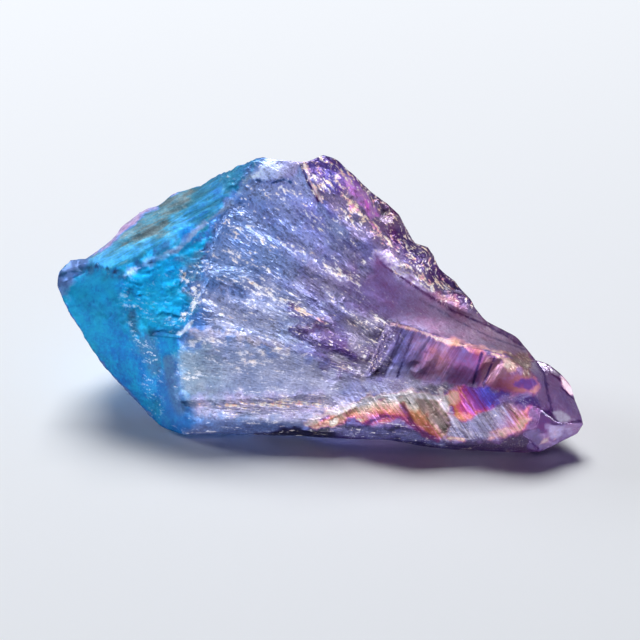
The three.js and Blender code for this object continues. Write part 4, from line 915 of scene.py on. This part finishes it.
def coated_quartz():
    """Clear quartz under a vapour coat of titanium: glassy, half see-through, with the film's interference
    colours. The film is thinnest on the crests, so they run through magenta and gold to nearly white, and
    their flecks carry painted glints."""
    material = bpy.data.materials.new("titanium vapour coated quartz")
    material.use_nodes = True
    tree = material.node_tree
    tree.nodes.clear()
    paint = {name: add(tree, PAINTED, attribute_name=name).outputs["Fac"] for name in CHANNELS}
    spaces = {"place": add(tree, "ShaderNodeTexCoord").outputs["Object"]}
    for name in ("fibre_place",) + LINE_SPACES:
        spaces[name] = add(tree, PAINTED, attribute_name=name).outputs["Vector"]
    fields = {}
    for name, pattern in PATTERNS.items():
        space, pitch, detail, roughness, sharp = pattern
        fields[name] = growth_field(tree, spaces[space], pitch * MM, detail, sharp, roughness)
    fibres, scoop, ledge = paint["fibres"], paint["scoop_comb"], paint["ledge_comb"]

    # Flecks on the fibres' crests, partly painted glints, and painted shade in the dark lines where two
    # fibres meet.
    crests = built_up(tree, paint["sparkle"], [
        (fields["fibre"], 0.5, 0.6, 1.0),
        (fields["fine fibre"], 0.5, 1.5, 1.0),
        (fields["bundle"], 0.5, 0.6, 1.0),
        (fields["grain"], 0.5, 0.9, 1.0),
    ])
    fleck = add(tree, MAP_RANGE, {"Value": crests, **PALE_CREST_AND_GLINT}, interpolation_type="SMOOTHSTEP")
    fleck = add(tree, MATH, {0: fleck, 1: fibres}, operation="MULTIPLY")
    crevice_shade = add(tree, MAP_RANGE, {"Value": crests, **PAINTED_CREVICE_SHADE}, interpolation_type="SMOOTHSTEP")

    # The film's thickness and its colour, over pale quartz where it is bare.
    thickness = built_up(tree, paint["film"], [
        (fields["drift"], 0.5, 0.14, 1.0),
        (fields["haze"], 0.5, 0.2, paint["matt"]),
        (fields["streak"], 0.5, 0.16, fibres),
        (fields["grain"], 0.5, 0.12, 1.0),
        (fields["scoop line"], 0.5, 0.12, scoop),
        (fields["ledge line"], 0.5, 0.4, ledge),
        (fields["step"], 0.4, -0.1, paint["steps"]),
    ])
    film = add(tree, "ShaderNodeValToRGB", {0: thickness})
    fill_ramp(film, FILM_COLOURS)
    bare = built_up(tree, paint["bare"], [
        (fields["streak"], 0.5, 0.5, fibres),
        (fields["haze"], 0.5, 1.2, paint["bare"]),
        (fields["ledge line"], 0.5, 0.5, ledge),
    ])
    colour = add(
        tree, MIX, {"Factor": bare, "A": film.outputs["Color"], "B": linear(BARE_QUARTZ)}, data_type="RGBA",
    )
    light = built_up(tree, 1.0, [
        (crevice_shade, 0.0, -0.45, fibres),
        (fields["grain"], 0.5, 0.7, 1.0),
        (fields["scoop line"], 0.5, 1.6, scoop),
        (fields["ledge line"], 0.5, 3.0, ledge),
        (fields["step"], 0.4, 0.8, paint["steps"]),
        (fields["haze"], 0.5, 1.0, paint["matt"]),
    ])
    light = add(tree, MATH, {0: light, 1: paint["shade"]}, operation="MULTIPLY")
    colour = add(tree, VECTOR_MATH, {0: colour, "Scale": light}, operation="SCALE")

    # A fleck is cream or white on the blue side, and gold or pink on the violet side.
    warmth = add(tree, MAP_RANGE, {"Value": paint["film"], **WARMTH})
    warmth = built_up(tree, warmth, [(fields["hue"], 0.5, 1.3, 1.0), (paint["warm"], 0.0, 1.0, 1.0)])
    crest = add(tree, "ShaderNodeValToRGB", {0: warmth})
    fill_ramp(crest, CREST_COLOURS)
    colour = add(tree, MIX, {"Factor": fleck, "A": colour, "B": crest.outputs["Color"]}, data_type="RGBA")

    # Relief too fine for the mesh.
    height = built_up(tree, 0.0, [
        (fields["fine fibre"], 0.5, 2.2, fibres),
        (fields["scoop line"], 0.5, 0.8, scoop),
        (fields["ledge line"], 0.5, 1.2, ledge),
        (fields["grain"], 0.5, 0.4, 1.0),
    ])
    bump = add(tree, "ShaderNodeBump", {"Strength": 0.8, "Distance": BUMP_HEIGHT * MM, "Height": height})

    # The matt coat is the most metallic, and a clear place or a fleck the least.
    metal = built_up(tree, 0.3, [
        (paint["matt"], 0.0, 0.4, 1.0), (paint["clear"], 0.0, -0.2, 1.0), (fleck, 0.0, -0.2, 1.0),
    ])
    roughness = built_up(tree, 0.32, [(paint["matt"], 0.0, 0.35, 1.0), (paint["clear"], 0.0, -0.2, 1.0)])
    through = built_up(tree, 0.2, [(paint["clear"], 0.0, 0.35, 1.0)])
    surface = add(
        tree, "ShaderNodeBsdfPrincipled",
        {
            "Base Color": colour, "Metallic": metal, "Roughness": roughness, "IOR": QUARTZ_IOR,
            "Transmission Weight": through, "Normal": bump,
        },
    )
    body = {"Color": linear(QUARTZ_BODY), "Density": BODY_DENSITY}
    inside = add(tree, "ShaderNodeVolumeAbsorption", body)
    add(tree, "ShaderNodeOutputMaterial", {"Surface": surface, "Volume": inside})
    return material


def floor_paint():
    """Matt white studio paper: plain, without shine and faintly cool."""
    material = bpy.data.materials.new("matt studio paper")
    material.use_nodes = True
    shader = material.node_tree.nodes["Principled BSDF"]
    shader.inputs["Base Color"].default_value = linear(FLOOR_WHITE)
    shader.inputs["Roughness"].default_value = 0.9
    return material


# -------- floor, lights and camera
FLOOR_REACH = 3.0  # metres from the middle to the floor's edge
CAMERA_DISTANCE = 300.0  # millimetres, like the target
CAMERA_TARGET = Vector((0.13, -0.10, 6.6))
CAMERA_HEIGHT = math.radians(32)  # how steeply it looks down
VIEW_WIDTH = 51.2  # millimetres across the picture at the target
SENSOR = 36.0  # millimetres
NEAREST_SEEN = 0.01  # metres

# Every lamp points at the camera's target. Places and sizes are in metres, powers in watts. A flagged lamp
# is screened off from the floor, so it only draws the light on the stone's faces.
Lamp = namedtuple("Lamp", "place width height power colour flagged")
LAMPS = {
    "softbox behind": Lamp((-0.08, 0.59, 0.68), 0.46, 0.31, 9.4, "#fdfdff", False),
    "far window left": Lamp((-0.50, 0.25, 0.20), 0.15, 0.15, 1.3, "#ecf4ff", False),
    "high window front": Lamp((0.06, -0.28, 0.40), 0.10, 0.10, 0.07, "#f8f8ff", True),
    "low window left": Lamp((-0.30, -0.30, 0.012), 0.26, 0.022, 1.5, "#f4f5fd", True),
    "low window right": Lamp((0.26, -0.34, 0.012), 0.26, 0.022, 2.45, "#f6f3fd", True),
    "glint right": Lamp((0.20, -0.10, 0.30), 0.03, 0.03, 0.06, "#ffffff", True),
}
SKY = "#9088f0"
SKY_STRENGTH = 0.05


def lay_floor():
    """One square of studio paper under everything."""
    mesh = bpy.data.meshes.new("floor")
    reach = FLOOR_REACH
    corners = [(-reach, -reach, 0), (reach, -reach, 0), (reach, reach, 0), (-reach, reach, 0)]
    mesh.from_pydata(corners, [], [(0, 1, 2, 3)])
    mesh.materials.append(floor_paint())
    floor = bpy.data.objects.new("floor", mesh)
    bpy.context.scene.collection.objects.link(floor)


def aim(thing, place, target):
    """Puts a lamp or camera at a place, looking at the target."""
    turn = (Vector(target) - Vector(place)).to_track_quat("-Z", "Y")
    thing.matrix_world = Matrix.Translation(place) @ turn.to_matrix().to_4x4()


def hang_lamps(stone):
    """The lamps, and a faint violet sky."""
    screened = bpy.data.collections.new("lit by the screened lamps")
    screened.objects.link(stone)
    for name, lamp in LAMPS.items():
        data = bpy.data.lights.new(name, "AREA")
        data.shape = "RECTANGLE"
        data.size = lamp.width
        data.size_y = lamp.height
        data.energy = lamp.power
        data.color = linear(lamp.colour)[:3]
        thing = bpy.data.objects.new(name, data)
        bpy.context.scene.collection.objects.link(thing)
        aim(thing, lamp.place, CAMERA_TARGET * MM)
        if lamp.flagged:
            thing.light_linking.receiver_collection = screened
    world = bpy.data.worlds.new("studio")
    world.use_nodes = True
    background = world.node_tree.nodes["Background"]
    background.inputs["Color"].default_value = linear(SKY)
    background.inputs["Strength"].default_value = SKY_STRENGTH
    bpy.context.scene.world = world


def set_camera():
    """One camera at the object's front, high enough to look down on it."""
    data = bpy.data.cameras.new("camera")
    data.sensor_width = SENSOR
    data.lens = SENSOR * CAMERA_DISTANCE / VIEW_WIDTH
    data.clip_start = NEAREST_SEEN
    camera = bpy.data.objects.new("camera", data)
    bpy.context.scene.collection.objects.link(camera)
    back = Vector((0, -math.cos(CAMERA_HEIGHT), math.sin(CAMERA_HEIGHT)))
    place = (CAMERA_TARGET + back * CAMERA_DISTANCE) * MM
    aim(camera, place, CAMERA_TARGET * MM)
    bpy.context.scene.camera = camera


# -------- the scene
set_camera()
lay_floor()
bpy.context.scene.view_settings.view_transform = "Standard"

stone = smoothed_copy(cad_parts["quartz_point"], "coated_quartz_point")
paint_piece(stone)
grow_relief(stone, coated_quartz())
hang_lamps(stone)

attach(stone, "root")
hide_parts("quartz_point")
